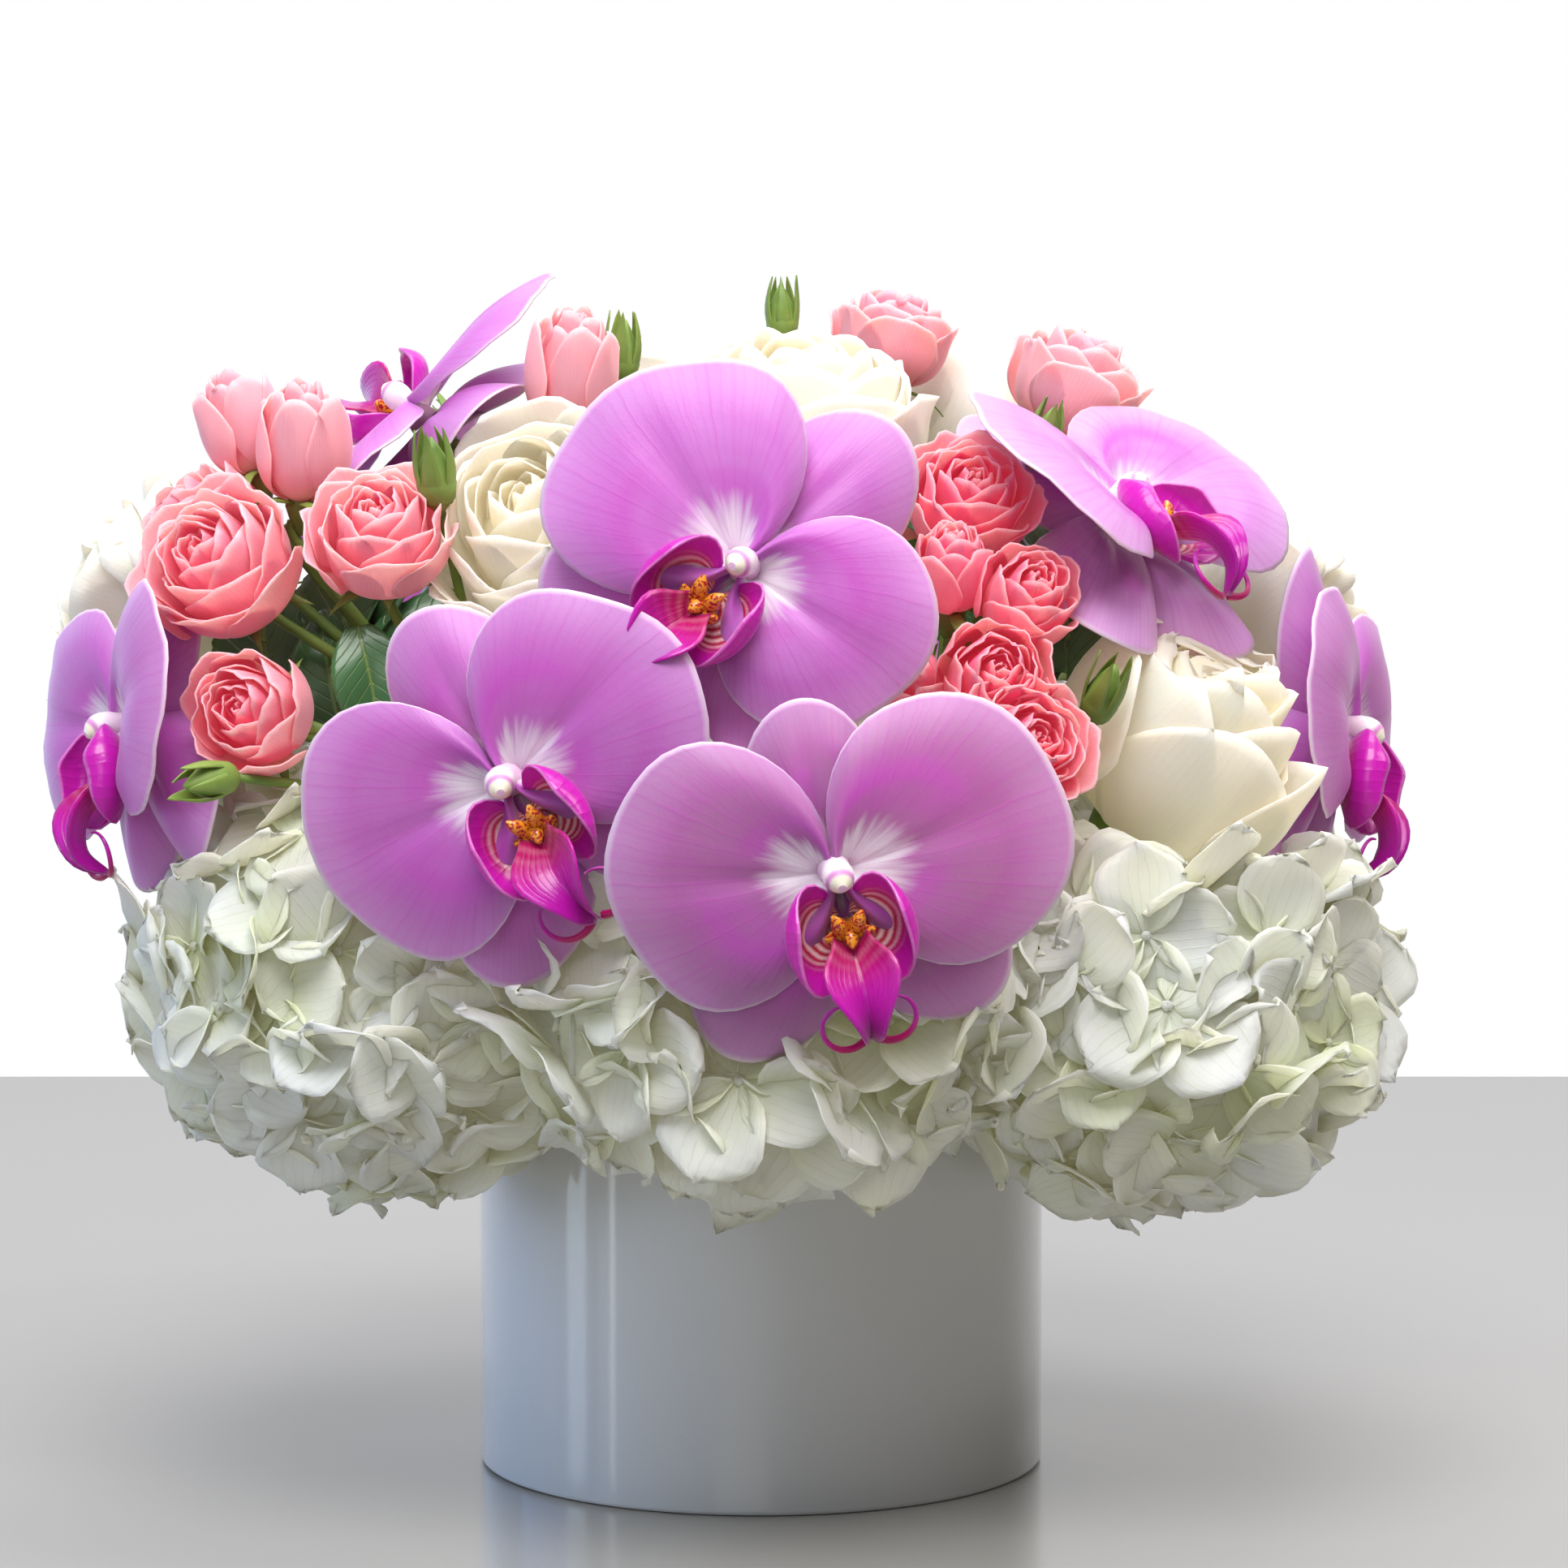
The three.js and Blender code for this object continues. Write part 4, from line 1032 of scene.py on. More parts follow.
def head_surface(head, reach, vase):
    """The side of a head that florets cover: part of a ball, dented where other flowers press on it."""
    middle, outward = head_middle(head)
    tilt, swing = np.meshgrid(np.radians(np.linspace(2, 178, 34)), np.radians(np.linspace(0, 360, 61)[:-1]))
    away = np.stack([np.sin(tilt) * np.cos(swing), np.sin(tilt) * np.sin(swing), np.cos(tilt)], axis=-1)
    offset = away.reshape(-1, 3) * reach
    offset[:, 2] *= np.where(offset[:, 2] < 0, HEAD_DEPTH, 1.0)
    aside = np.array([-outward[1], outward[0], 0.0])
    offset += (offset @ aside)[:, None] * aside * HEAD_EXTRA_WIDTH
    points = dented(middle + offset, middle)
    rows, columns = tilt.shape
    index = np.arange(rows * columns).reshape(rows, columns)
    below = np.roll(index, -1, axis=0)
    faces = np.stack([index[:, :-1], index[:, 1:], below[:, 1:], below[:, :-1]], axis=-1).reshape(-1, 4)
    centres = points[faces].mean(axis=1)
    facing = (centres - middle) @ outward / reach
    from_axis = np.hypot(centres[:, 0], centres[:, 1])
    against_vase = (centres[:, 2] < vase.height + CLEAR_OF_RIM) & (from_axis < vase.radius + CLEAR_OF_WALL)
    kept = faces[(facing > HEAD_BACK) & ~against_vase]
    mesh = bpy.data.meshes.new("head surface")
    mesh.from_pydata((points * MM).tolist(), [], kept.tolist())
    return linked("head surface", mesh)


def scatter(surface, tree, name, values):
    """Runs the scatter tree on a surface and returns the result as a plain object."""
    modifier = surface.modifiers.new("Scatter", "NODES")
    modifier.node_group = tree
    for item in tree.interface.items_tree:
        if item.in_out == "INPUT" and item.name in values:
            modifier[item.identifier] = values[item.name]
    surface.update_tag()
    depsgraph = bpy.context.evaluated_depsgraph_get()
    mesh = bpy.data.meshes.new_from_object(surface.evaluated_get(depsgraph))
    mesh.name = name
    surface.modifiers.clear()
    bpy.data.objects.remove(surface)
    return linked(name, mesh)


class CENTREPIECE_OT_hydrangeas(bpy.types.Operator):
    """Covers each hydrangea head with ruffled four-sepalled florets"""

    bl_idname = "centrepiece.hydrangeas"
    bl_label = "Hydrangeas"

    def execute(self, context):
        look = context.scene.centrepiece_hydrangeas
        vase = context.scene.centrepiece_vase
        greens = context.scene.centrepiece_greens
        finish = hydrangea_finish()
        sources = bpy.data.collections.new("Florets")
        florets = [floret_source(look, i, finish) for i in range(FLORET_KINDS)]
        for floret in florets:
            context.scene.collection.objects.unlink(floret)
            sources.objects.link(floret)
        tree = scatter_tree(finish)
        values = {"Florets": sources, "Spacing": look.spacing * MM, "Lean": 0.42}
        values |= {"Smallest": 0.82, "Largest": 1.08}
        stalk_finish = green_finish("hydrangea_stalk", (0.42, 0.52, 0.26), greens.fresh, 0.6, 300.0)
        for i, head in enumerate(HEADS):
            values["Seed"] = SEEDS["head"] + i
            bloom = scatter(head_surface(head, look.reach, vase), tree, f"hydrangea_florets_{i + 1}", values)
            thicken(bloom, 0.3, -1.0)
            finish_piece(bloom, "hydrangea_sepal", f"hydrangea_head_{i + 1}")
            stalk = self.stalk(head, look.core).build(f"hydrangea_middle_{i + 1}", [stalk_finish])
            finish_piece(stalk, "hydrangea_sepal")
        for floret in florets:
            bpy.data.objects.remove(floret)
        bpy.data.collections.remove(sources)
        return {"FINISHED"}

    def stalk(self, head, core):
        """The branching middle of a head and its stalk down into the foam."""
        middle, outward = head_middle(head)
        pile = Pile()
        bend = np.radians(np.linspace(-90, 90, 15))
        ball = [(max(core * math.cos(a), 0.3), core * math.sin(a)) for a in bend]
        turned(pile, ball, 24, (np.eye(3), middle))
        foot = outward * 30 + np.array([0, 0, 150])
        tube(pile, [middle, foot], [3.6, 3.6], steps=4, sides=12)
        return pile


# ------------------------------------------------------------------ orchids
# The lengths, in millimetres, at which the lip's side lobes and its tongue are drawn before they are scaled.
LOBE_DRAWN, TONGUE_DRAWN = 16, 24


def orchid_petal(look, side, share, cup, chance):
    """One of the two broad side petals. side is 1 for the right and -1 for the left."""
    angle, out = fan_grid(28, 44, 112)
    reach = oval_reach(angle, 0.5, 0.53, 0.63) * look.petal * share
    broad, small = chance.uniform(0, 6), chance.uniform(0, 6)
    reach *= 1 + 0.03 * np.sin(3 * angle + broad) + 0.012 * np.sin(8 * angle + small)
    turn = angle + math.radians(9)
    phase = chance.uniform(0, 6, 3)
    dome = 3.0 * out + 4.6 * np.sin(math.pi * out) - 5.4 * out**3 * np.cos(angle * 0.8) ** 2
    crease = -1.3 * ridge(angle, 0.12) * np.sin(math.pi * np.minimum(out * 1.1, 1))
    wave = 1.6 * out**3 * np.sin(2.7 * angle + phase[0]) + 0.6 * out**5 * np.sin(8 * angle + phase[1])
    height = dome + crease + wave + 0.3 * out**6 * np.sin(19 * angle + phase[2])
    x = reach * out * np.cos(turn) + 2.0
    height += np.tan(math.radians(cup)) * np.maximum(x, 0)
    return np.stack([side * x, reach * out * np.sin(turn) + 1.0, height], axis=-1)[:, ::side]


def orchid_sepal(look, aim, share, chance):
    """One of the three narrower sepals behind the petals."""
    angle, out = fan_grid(22, 38, 104, 1.5)
    reach = oval_reach(angle, 0.5, 0.525, 0.39) * look.sepal * share
    turn = angle + math.radians(aim)
    phase = chance.uniform(0, 6)
    aside = reach * out * np.sin(angle)
    height = -4.0 + 3.4 * np.sin(math.pi * out) - 5.5 * out**2 - 0.012 * aside**2 * out
    crease = -0.8 * ridge(angle, 0.1) * np.sin(math.pi * out)
    wave = 0.8 * out**3 * np.sin(4 * angle + phase)
    return np.stack([reach * out * np.cos(turn), reach * out * np.sin(turn), height + crease + wave], axis=-1)


def lip_lobe(look, side):
    """A side lobe of the lip: one half of an open cup in front of the column, curled in at its rim."""
    out, across = sheet(16, 21)
    size = look.lobe / LOBE_DRAWN
    rise = out * (1 - 0.72 * np.abs(across) ** 2.4)
    swing = np.radians(6 + 66 * across + 10 * out * (across < 0) * across)
    radius = 4.0 + 11.5 * np.sin(rise * 2.3) + 1.6 * np.maximum(-across, 0) * out**2
    height = 2.5 + 14.5 * rise**1.25 + 0.5 * np.sin(9 * across) * out**4
    x, y = radius * np.cos(swing) * 0.98, radius * np.sin(swing) - 12.5
    return (np.stack([side * x, y, height], axis=-1) * size)[:, ::side]


def lip_tongue(look):
    """The middle lobe of the lip: a trowel that juts forward, bends down and folds its edges back."""
    out, across = sheet(20, 15)
    size = look.tongue / TONGUE_DRAWN
    spine = curve_through([(0, -11, 2.5), (0, -18, 9), (0, -25, 14), (0, -33, 13.5), (0, -38, 7)], 20) * size
    wide = size * (3.6 + 5.6 * ridge(out - 0.46, 0.2) - 2.6 * out**2)
    drop = -size * (1.2 + 5.0 * np.sin(math.pi * out)) * np.abs(across) ** 1.7
    way = np.gradient(spine, axis=0)
    way /= np.linalg.norm(way, axis=1, keepdims=True)
    up = np.cross([1.0, 0.0, 0.0], way)
    keel = size * 0.9 * ridge(across, 0.16) * np.sin(math.pi * out)
    lift = (drop + keel)[..., None] * up[:, None, :]
    return spine[:, None, :] + (across * wide)[..., None] * np.array([1.0, 0, 0]) + lift


class CENTREPIECE_OT_orchid_tepals(bpy.types.Operator):
    """Shapes the two petals and three sepals of each orchid"""

    bl_idname = "centrepiece.orchid_tepals"
    bl_label = "Orchid petals and sepals"

    def execute(self, context):
        look = context.scene.centrepiece_orchids
        finish = orchid_tepal_finish()
        for i, orchid in enumerate(ORCHIDS):
            chance = np.random.default_rng(SEEDS["orchid"] + i)
            pile = Pile()
            for aim, share in ((90, orchid.dorsal), (228, 1.0), (312, 1.0)):
                pile.grid(orchid_sepal(look, aim, share, chance), tone=orchid.tone)
            for side, share in ((1, orchid.right), (-1, orchid.left)):
                pile.grid(orchid_petal(look, side, share, orchid.cup, chance), tone=orchid.tone)
            frame_of = flower_frame(orchid.at, orchid.faces, orchid.roll)
            piece = pile.build(f"orchid_petals_{orchid.node}", [finish], 0.45, frame_of, orchid.size)
            finish_piece(piece, "orchid_tepal", f"orchid_tepals_{orchid.node}")
        return {"FINISHED"}


class CENTREPIECE_OT_orchid_lips(bpy.types.Operator):
    """Shapes the lip, its callus and the column of each orchid"""

    bl_idname = "centrepiece.orchid_lips"
    bl_label = "Orchid lips"

    def execute(self, context):
        look = context.scene.centrepiece_orchids
        lip, column, callus = orchid_lip_finish(), orchid_column_finish(), orchid_callus_finish()
        # Each piece: what shapes it from a pile and the settings, its material, its thickness and its slot.
        pieces = {
            "lip_sheets": (self.sheets, lip, 0.6, "orchid_lip"),
            "column": (self.column, column, 0.0, "orchid_tepal"),
            "tendrils": (self.tendrils, lip, 0.0, "orchid_lip"),
            "callus": (self.callus, callus, 0.0, "orchid_lip"),
        }
        for orchid in ORCHIDS:
            frame_of = flower_frame(orchid.at, orchid.faces, orchid.roll)
            for name, (shape, finish, thickness, slot) in pieces.items():
                pile = Pile()
                shape(pile, look)
                piece = pile.build(f"orchid_{name}_{orchid.node}", [finish], thickness, frame_of, orchid.size)
                stands_for = [f"orchid_lip_{orchid.node}"] if name == "lip_sheets" else []
                finish_piece(piece, slot, *stands_for)
        return {"FINISHED"}

    def sheets(self, pile, look):
        """The two side lobes and the tongue, which is marked by its tone."""
        pile.grid(lip_lobe(look, 1))
        pile.grid(lip_lobe(look, -1))
        pile.grid(lip_tongue(look), tone=0.85)

    def column(self, pile, look):
        """The column: a short club that leans over the lip, with a rounded cap at its end."""
        spine = [(0, 1.5, -1), (0, 2.0, 4), (0, 0.8, 9), (0, -1.5, 13)]
        tube(pile, spine, [4.4, 3.9, 3.5, 3.3, 3.5, 3.8, 3.6, 2.8, 1.0], steps=22, sides=16)

    def tendrils(self, pile, look):
        """Two thin tendrils that curl outwards and up from the tip of the lip."""
        size = look.tongue / TONGUE_DRAWN
        for side in (1, -1):
            bend = np.radians(np.linspace(-128, 92, 14))
            curl = 6.6 * (1 - 0.3 * np.linspace(0, 1, 14))
            x, y = 5.6 + curl * np.cos(bend), -33 + curl * np.sin(bend)
            path = np.stack([side * x, y, np.linspace(7, 13.5, 14)], axis=-1) * size
            tube(pile, path, [1.1, 0.75, 0.6, 0.3], steps=24, sides=6, tone=1.0)

    def callus(self, pile, look):
        """The lumpy root of the lip: two teeth that stand up, two knobs beside them and a bump in front."""
        for side in (1, -1):
            tooth = [(0.8, -12, 3), (1.8, -11.5, 7), (2.6, -9.5, 10.5), (3.4, -7.5, 11.5)]
            tube(pile, np.array(tooth) * (side, 1, 1), [2.4, 2.2, 1.7, 0.5], steps=12, sides=10)
            knob = [(1.0, -13, 4), (4.0, -13.5, 7), (5.6, -12.5, 9)]
            tube(pile, np.array(knob) * (side, 1, 1), [2.2, 2.1, 1.6, 0.5], steps=10, sides=9)
        tube(pile, [(0, -12, 4), (0, -14, 8.5), (0, -16, 10)], [2.2, 2.0, 0.6], steps=8, sides=9)


class CENTREPIECE_OT_orchid_spikes(bpy.types.Operator):
    """Runs each orchid spike from the foam to its blooms"""

    bl_idname = "centrepiece.orchid_spikes"
    bl_label = "Orchid spikes"

    def execute(self, context):
        greens = context.scene.centrepiece_greens
        finish = green_finish("orchid_spike", (0.22, 0.32, 0.10), (0.12, 0.14, 0.06), 0.4, 500.0)
        for name, (fork, foot) in SPIKES.items():
            pile = Pile()
            tube(pile, [foot, fork], [greens.stem, greens.stem * 0.9], steps=8, sides=12)
            for orchid in ORCHIDS:
                if orchid.node.startswith(name):
                    path = [fork, behind(orchid, 24 * orchid.size), behind(orchid, 6 * orchid.size)]
                    tube(pile, path, [2.1, 1.6, 1.5, 2.0], steps=16, sides=10)
            finish_piece(pile.build(f"spike_{name}", [finish]), "orchid_spike", f"orchid_spike_{name}")
        return {"FINISHED"}


# ------------------------------------------------------------------ roses
# A white rose lies back where an orchid is in front of it. Its petals stay this far behind the orchid's
# middle, fully within the inner distance beside it and not at all past the outer one, in millimetres.
TUCK_BEHIND, TUCK_INNER, TUCK_OUTER = 11, 50, 60
# The solid heart that fills a bloom between its petals: radius and height as shares of the bloom's own.
HEART = [(0.02, 0.08), (0.3, 0.12), (0.55, 0.3), (0.6, 0.42)]
HEART += [(0.52, 0.56), (0.34, 0.68), (0.14, 0.75), (0.02, 0.77)]


def roses_of(spray):
    return [rose for cluster in spray["clusters"] for rose in cluster]


def all_roses():
    return WHITE_ROSES + [rose for spray in PINK_SPRAYS.values() for rose in roses_of(spray)]


def rose_petal(rose, age, turn, ruffle, chance):
    """One petal, from 0, the innermost, to 1, the outermost. It is a cupped shell with a rolled rim."""
    along, across = sheet(15, 15)
    t = along * (1 - mix(0.2, 0.42, age) * np.abs(across) ** 2.4)
    radius, height, blown = rose.radius, rose.height, rose.open
    belly = radius * mix(0.13, mix(0.93, 0.84, blown), age**0.75)
    lip = radius * mix(0.04, mix(0.62, 1.0, blown), age**1.2)
    crown = 0.9 + 0.1 * math.sin(math.pi * min(1, age * 1.5)) - 0.14 * blown * age**3
    top = height * (crown + chance.uniform(-0.03, 0.03))
    root = radius * mix(0.03, 0.14, age)
    a, b, c, d = (1 - t) ** 3, 3 * t * (1 - t) ** 2, 3 * t**2 * (1 - t), t**3
    out = a * root + b * belly * 1.25 + c * belly * 1.14 + d * lip
    rise = b * height * 0.02 + c * top * 0.68 + d * top
    roll = smooth(0.68, 1, t) * age * (0.35 + 0.65 * blown)
    out = out + radius * 0.17 * roll * (0.4 + np.abs(across))
    rise = rise - height * 0.15 * roll**2 * (0.25 + 1.1 * np.abs(across) ** 1.5)
    phase = chance.uniform(0, 6, 2)
    waves = t**4 * np.sin(5.5 * across + phase[0]) + 0.5 * t**6 * np.sin(12 * across + phase[1])
    frill = ruffle * radius * waves
    out = out + frill + radius * 0.055 * across * np.minimum(1, t / 0.5)
    rise = rise + 0.5 * frill
    wrap = mix(1.9, 0.8, age**0.6) * (0.42 + 0.58 * smooth(0, 0.55, t))
    angle = turn + across * wrap
    out = np.maximum(out, radius * 0.012)
    return np.stack([out * np.cos(angle), out * np.sin(angle), rise], axis=-1)


def tucked(points, heart):
    """Presses a bloom back where it would come through an orchid that lies in front of it."""
    for orchid in ORCHIDS:
        frame_of = flower_frame(orchid.at, orchid.faces)
        if seen_from(heart, frame_of)[2] > -TUCK_BEHIND - 1:
            continue
        local = seen_from(points, frame_of)
        beside = np.hypot(local[:, 0], local[:, 1]) / orchid.size
        pressed = np.maximum(local[:, 2] + TUCK_BEHIND, 0) * (1 - smooth(TUCK_INNER, TUCK_OUTER, beside))
        points = points - pressed[:, None] * frame_of[0][2]
    return points


def rose_bloom(pile, rose, petals, ruffle, tint, chance):
    """A whole bloom: petals in a golden-angle spiral, tight in the heart and looser outwards."""
    frame_of = flower_frame(rose.at, rose.faces)
    count = max(int(petals * mix(0.6, 1, rose.open)), 10)
    turned(pile, np.array(HEART) * (rose.radius, rose.height), 20, frame_of, age=0.15, tint=tint)
    for k in range(count):
        age = k / (count - 1)
        turn = k * GOLDEN_ANGLE + chance.uniform(-0.15, 0.15)
        petal = rose_petal(rose, age, turn, ruffle * (0.4 + 0.6 * age), chance)
        pile.grid(placed(petal, frame_of), age=age, tint=tint + chance.uniform(-0.12, 0.12))


class CENTREPIECE_OT_white_roses(bpy.types.Operator):
    """Shapes the white roses petal by petal"""

    bl_idname = "centrepiece.white_roses"
    bl_label = "White roses"

    def execute(self, context):
        look = context.scene.centrepiece_roses
        # edge is the colour of a painted rim highlight, and through the colour of a painted glow that lifts
        # the shade between the petals.
        edge, root, through = (0.86, 0.83, 0.75), (0.66, 0.72, 0.40), (1.0, 0.82, 0.55)
        finish = rose_petal_finish("white_rose_petal", look.cream, look.heart, edge, root, through)
        for i, rose in enumerate(WHITE_ROSES):
            pile = Pile()
            chance = np.random.default_rng(SEEDS["white rose"] + i)
            rose_bloom(pile, rose, look.white_petals, 0.022, 1.1 * (1 - rose.open), chance)
            pile.points = [tucked(points, heart_of(rose)) for points in pile.points]
            piece = pile.build(f"white_rose_bloom_{i + 1}", [finish], 0.4)
            finish_piece(piece, "white_rose_petal", f"white_rose_{i + 1}")
        return {"FINISHED"}


class CENTREPIECE_OT_pink_roses(bpy.types.Operator):
    """Shapes the small pink roses of every spray"""

    bl_idname = "centrepiece.pink_roses"
    bl_label = "Pink roses"

    def execute(self, context):
        look = context.scene.centrepiece_roses
        # edge is the colour of a painted rim highlight, and through the colour of a painted glow that lifts
        # the shade between the petals.
        edge, root, through = (0.97, 0.48, 0.50), (0.80, 0.62, 0.40), (1.0, 0.09, 0.16)
        finish = rose_petal_finish("pink_rose_petal", look.blush, look.coral, edge, root, through)
        chance = np.random.default_rng(SEEDS["pink roses"])
        for name, spray in PINK_SPRAYS.items():
            deeper = 0.9 if name == "right" else 0.0
            for i, cluster in enumerate(spray["clusters"]):
                pile = Pile()
                for rose in cluster:
                    tint = deeper + chance.uniform(-0.3, 0.25)
                    rose_bloom(pile, rose, look.pink_petals, 0.055, tint, chance)
                piece = pile.build(f"pink_rose_blooms_{name}_{i + 1}", [finish], 0.35)
                finish_piece(piece, "pink_rose_petal", f"pink_roses_{name}_{i + 1}")
        return {"FINISHED"}


# ------------------------------------------------------------------ greenery
# The radius of a hip, and the length and half width of its sepals, in millimetres.
Hip = namedtuple("Hip", "radius reach half")
SPRAY_HIP, WHITE_HIP = Hip(4.2, 15, 2.2), Hip(6.5, 22, 3.4)


def sepal_strip(hip, lean, chance):
    """A narrow pointed sepal that springs from the hip, leans out and curls at its tip."""
    rows = 12
    t, u = sheet(rows, 5)
    bend = lean + chance.uniform(-0.3, 0.3)
    away = hip.reach * (0.2 + (t + (1 - t) / rows) * math.sin(bend))
    rise = hip.reach * (0.9 * t * math.cos(bend) - 0.25 * t**3)
    aside = u * hip.half * (1 - t) ** 0.8 * (0.75 + 0.5 * np.sin(math.pi * t))
    return np.stack([away, aside, rise - 0.3 * aside**2 / hip.half], axis=-1)


def calyx(pile, rose, hip, chance):
    """The green hip under a bloom with five pointed sepals."""
    frame_of = flower_frame(rose.at, rose.faces)
    profile = [(0.5, -hip.radius * 2.2), (1.5, -hip.radius * 2.1), (hip.radius * 0.72, -hip.radius * 1.3)]
    profile += [(hip.radius, -hip.radius * 0.4), (hip.radius * 0.8, 1.5), (0.4, 2)]
    turned(pile, profile, 14, frame_of)
    for k in range(5):
        angle = 2 * math.pi * k / 5 + chance.uniform(-0.15, 0.15)
        strip = sepal_strip(hip, chance.uniform(1.0, 1.9), chance)
        away = (math.cos(angle), math.sin(angle), 0)
        aside = (-math.sin(angle), math.cos(angle), 0)
        pile.grid(placed(strip @ np.array([away, aside, (0, 0, 1)]), frame_of))


def bud(pile, item, chance):
    """A closed green bud with its sepals drawn to a point."""
    frame_of = flower_frame(item.at, item.faces)
    long = item.length
    profile = [(0.3, -3), (1.6, -1.5), (long * 0.24, 1), (long * 0.29, long * 0.3), (long * 0.22, long * 0.6)]
    profile += [(long * 0.1, long * 0.85), (0.2, long)]
    turned(pile, profile, 14, frame_of)
    t, u = sheet(10, 5)
    for k in range(5):
        angle = 2 * math.pi * k / 5 + chance.uniform(-0.1, 0.1)
        out = long * (0.2 + 0.14 * np.sin(math.pi * t) - 0.1 * t + chance.uniform(0.0, 0.22) * t**3)
        way = angle + u * 0.6 * (1 - t) ** 0.6
        strip = np.stack([out * np.cos(way), out * np.sin(way), long * 1.15 * t], axis=-1)
        pile.grid(placed(strip, frame_of))


def leaf_blade(look, size):
    """A saw-edged leaf, folded a little along its midrib and arched."""
    t, u = sheet(33, 13)
    reach, half = look.leaf * size, 14 * size
    wide = half * np.sin(math.pi * (0.05 + 0.93 * t) ** 0.85) ** 0.8
    teeth = 1 + 0.07 * (np.mod(t * 16, 1.0) - 0.5) * np.abs(u) ** 3
    side = u * wide * teeth
    height = 3 + 4 * np.sin(math.pi * t) - 3 * t**2 + 0.12 * np.abs(side) + 0.5 * np.sin(9 * t + u * 3)
    return np.stack([-side, -3 + reach * t, height], axis=-1)


class CENTREPIECE_OT_foliage(bpy.types.Operator):
    """Fills the depths between the flowers with dark leaves on stalks that stand in the foam"""

    bl_idname = "centrepiece.foliage"
    bl_label = "Foliage"

    def execute(self, context):
        look = context.scene.centrepiece_greens
        leaves = leaf_finish()
        stalks = green_finish("foliage_stalk", (0.06, 0.12, 0.03), (0.03, 0.07, 0.02), 0.5, 400.0)
        chance = np.random.default_rng(SEEDS["foliage"])
        items = list(BACKING)
        for turn, reach, height, lean in FOLIAGE:
            angle, rise = math.radians(turn - 90), math.radians(lean)
            faces = (math.cos(angle) * math.cos(rise), math.sin(angle) * math.cos(rise), math.sin(rise))
            base = (math.cos(angle) * reach, math.sin(angle) * reach, height)
            items.append(Leaf(base, faces, chance.uniform(-50, 50), chance.uniform(0.95, 1.2)))
        pile = Pile()
        for item in items:
            frame_of = flower_frame(item.at, item.faces, item.roll)
            pile.grid(placed(leaf_blade(look, item.size), frame_of))
            foot = foot_of(item.at, inward=0.45, height=140)
            bow = mix(foot, frame_of[1], 0.6) + frame_of[0][2] * 3
            tube(pile, [foot, bow, item.at], [1.6, 1.1], steps=8, sides=7, material=1)
        finish_piece(pile.build("foliage", [leaves, stalks], 0.4), "rose_green")
        return {"FINISHED"}


class CENTREPIECE_OT_rose_greens(bpy.types.Operator):
    """Adds the stems, hips, sepals, buds and leaves of the roses"""

    bl_idname = "centrepiece.rose_greens"
    bl_label = "Rose stems, buds and leaves"

    def execute(self, context):
        look = context.scene.centrepiece_greens
        fresh = green_finish("rose_green", look.fresh, (0.10, 0.20, 0.03), 0.5, 400.0)
        chance = np.random.default_rng(SEEDS["green"])
        for i, rose in enumerate(WHITE_ROSES):
            pile = Pile()
            calyx(pile, rose, WHITE_HIP, chance)
            bend = behind(rose, 26)
            foot = foot_of(bend, inward=0.42, height=136)
            tube(pile, [behind(rose, 5), bend, foot], [look.stem, look.stem], steps=14, sides=12)
            piece = pile.build(f"white_rose_green_{i + 1}", [fresh], 0.5)
            finish_piece(piece, "rose_green", f"white_rose_stem_{i + 1}")
        leaves = leaf_finish()
        for name, spray in PINK_SPRAYS.items():
            piece = self.spray_green(name, spray, look, fresh, chance)
            finish_piece(piece, "rose_green", f"pink_spray_stems_{name}")
            for k, item in enumerate(spray["leaves"]):
                pile = Pile()
                pile.grid(leaf_blade(look, item.size))
                frame_of = flower_frame(item.at, item.faces, item.roll)
                finish_piece(pile.build(f"leaf_{name}_{k + 1}", [leaves], 0.5, frame_of), "rose_green")
        return {"FINISHED"}

    def spray_green(self, name, spray, look, finish, chance):
        """One spray's stem with a branch to each bloom, bud and leaf."""
        pile = Pile()
        fork, foot = np.array(spray["fork"], float), np.array(spray["foot"], float)
        tube(pile, [fork, foot], [look.stem * 0.8, look.stem], steps=6, sides=10)
        for k, item in enumerate(roses_of(spray) + spray["buds"] + spray["leaves"]):
            start = mix(fork, foot, 0.03 + 0.045 * k)
            if isinstance(item, Rose):
                calyx(pile, item, SPRAY_HIP, chance)
                tube(pile, [start, behind(item, 13), behind(item, 6)], [1.5, 1.2, 1.3], steps=12, sides=8)
            elif isinstance(item, Bud):
                bud(pile, item, chance)
                tube(pile, [start, behind(item, 0)], [1.4, 1.0], steps=6, sides=7)
            else:
                tube(pile, [start, behind(item, -3)], [1.4, 1.0], steps=6, sides=7)
        return pile.build(f"pink_spray_green_{name}", [finish], 0.4)


# ------------------------------------------------------------------ stage
# The photograph's camera, worked out from the vase's foot and the orchids: its place, its fall in degrees.
CAMERA_AT = (0.0062, -1.2, 0.26)
CAMERA_FALL = 3.7
# The table top, in millimetres: half its side, and the radius of its corners.
TABLE_HALF, TABLE_CORNER = 790, 330
# The room in front of the flowers, at the left and at the right, and the wall behind them.
ROOM_LEFT, ROOM_RIGHT, WALL = (0.30, 0.36, 0.44), (0.14, 0.125, 0.115), (0.95, 0.95, 0.97)
# What the lamps look at.
LAMPS_LOOK_AT = Vector((0, 0, 0.17))

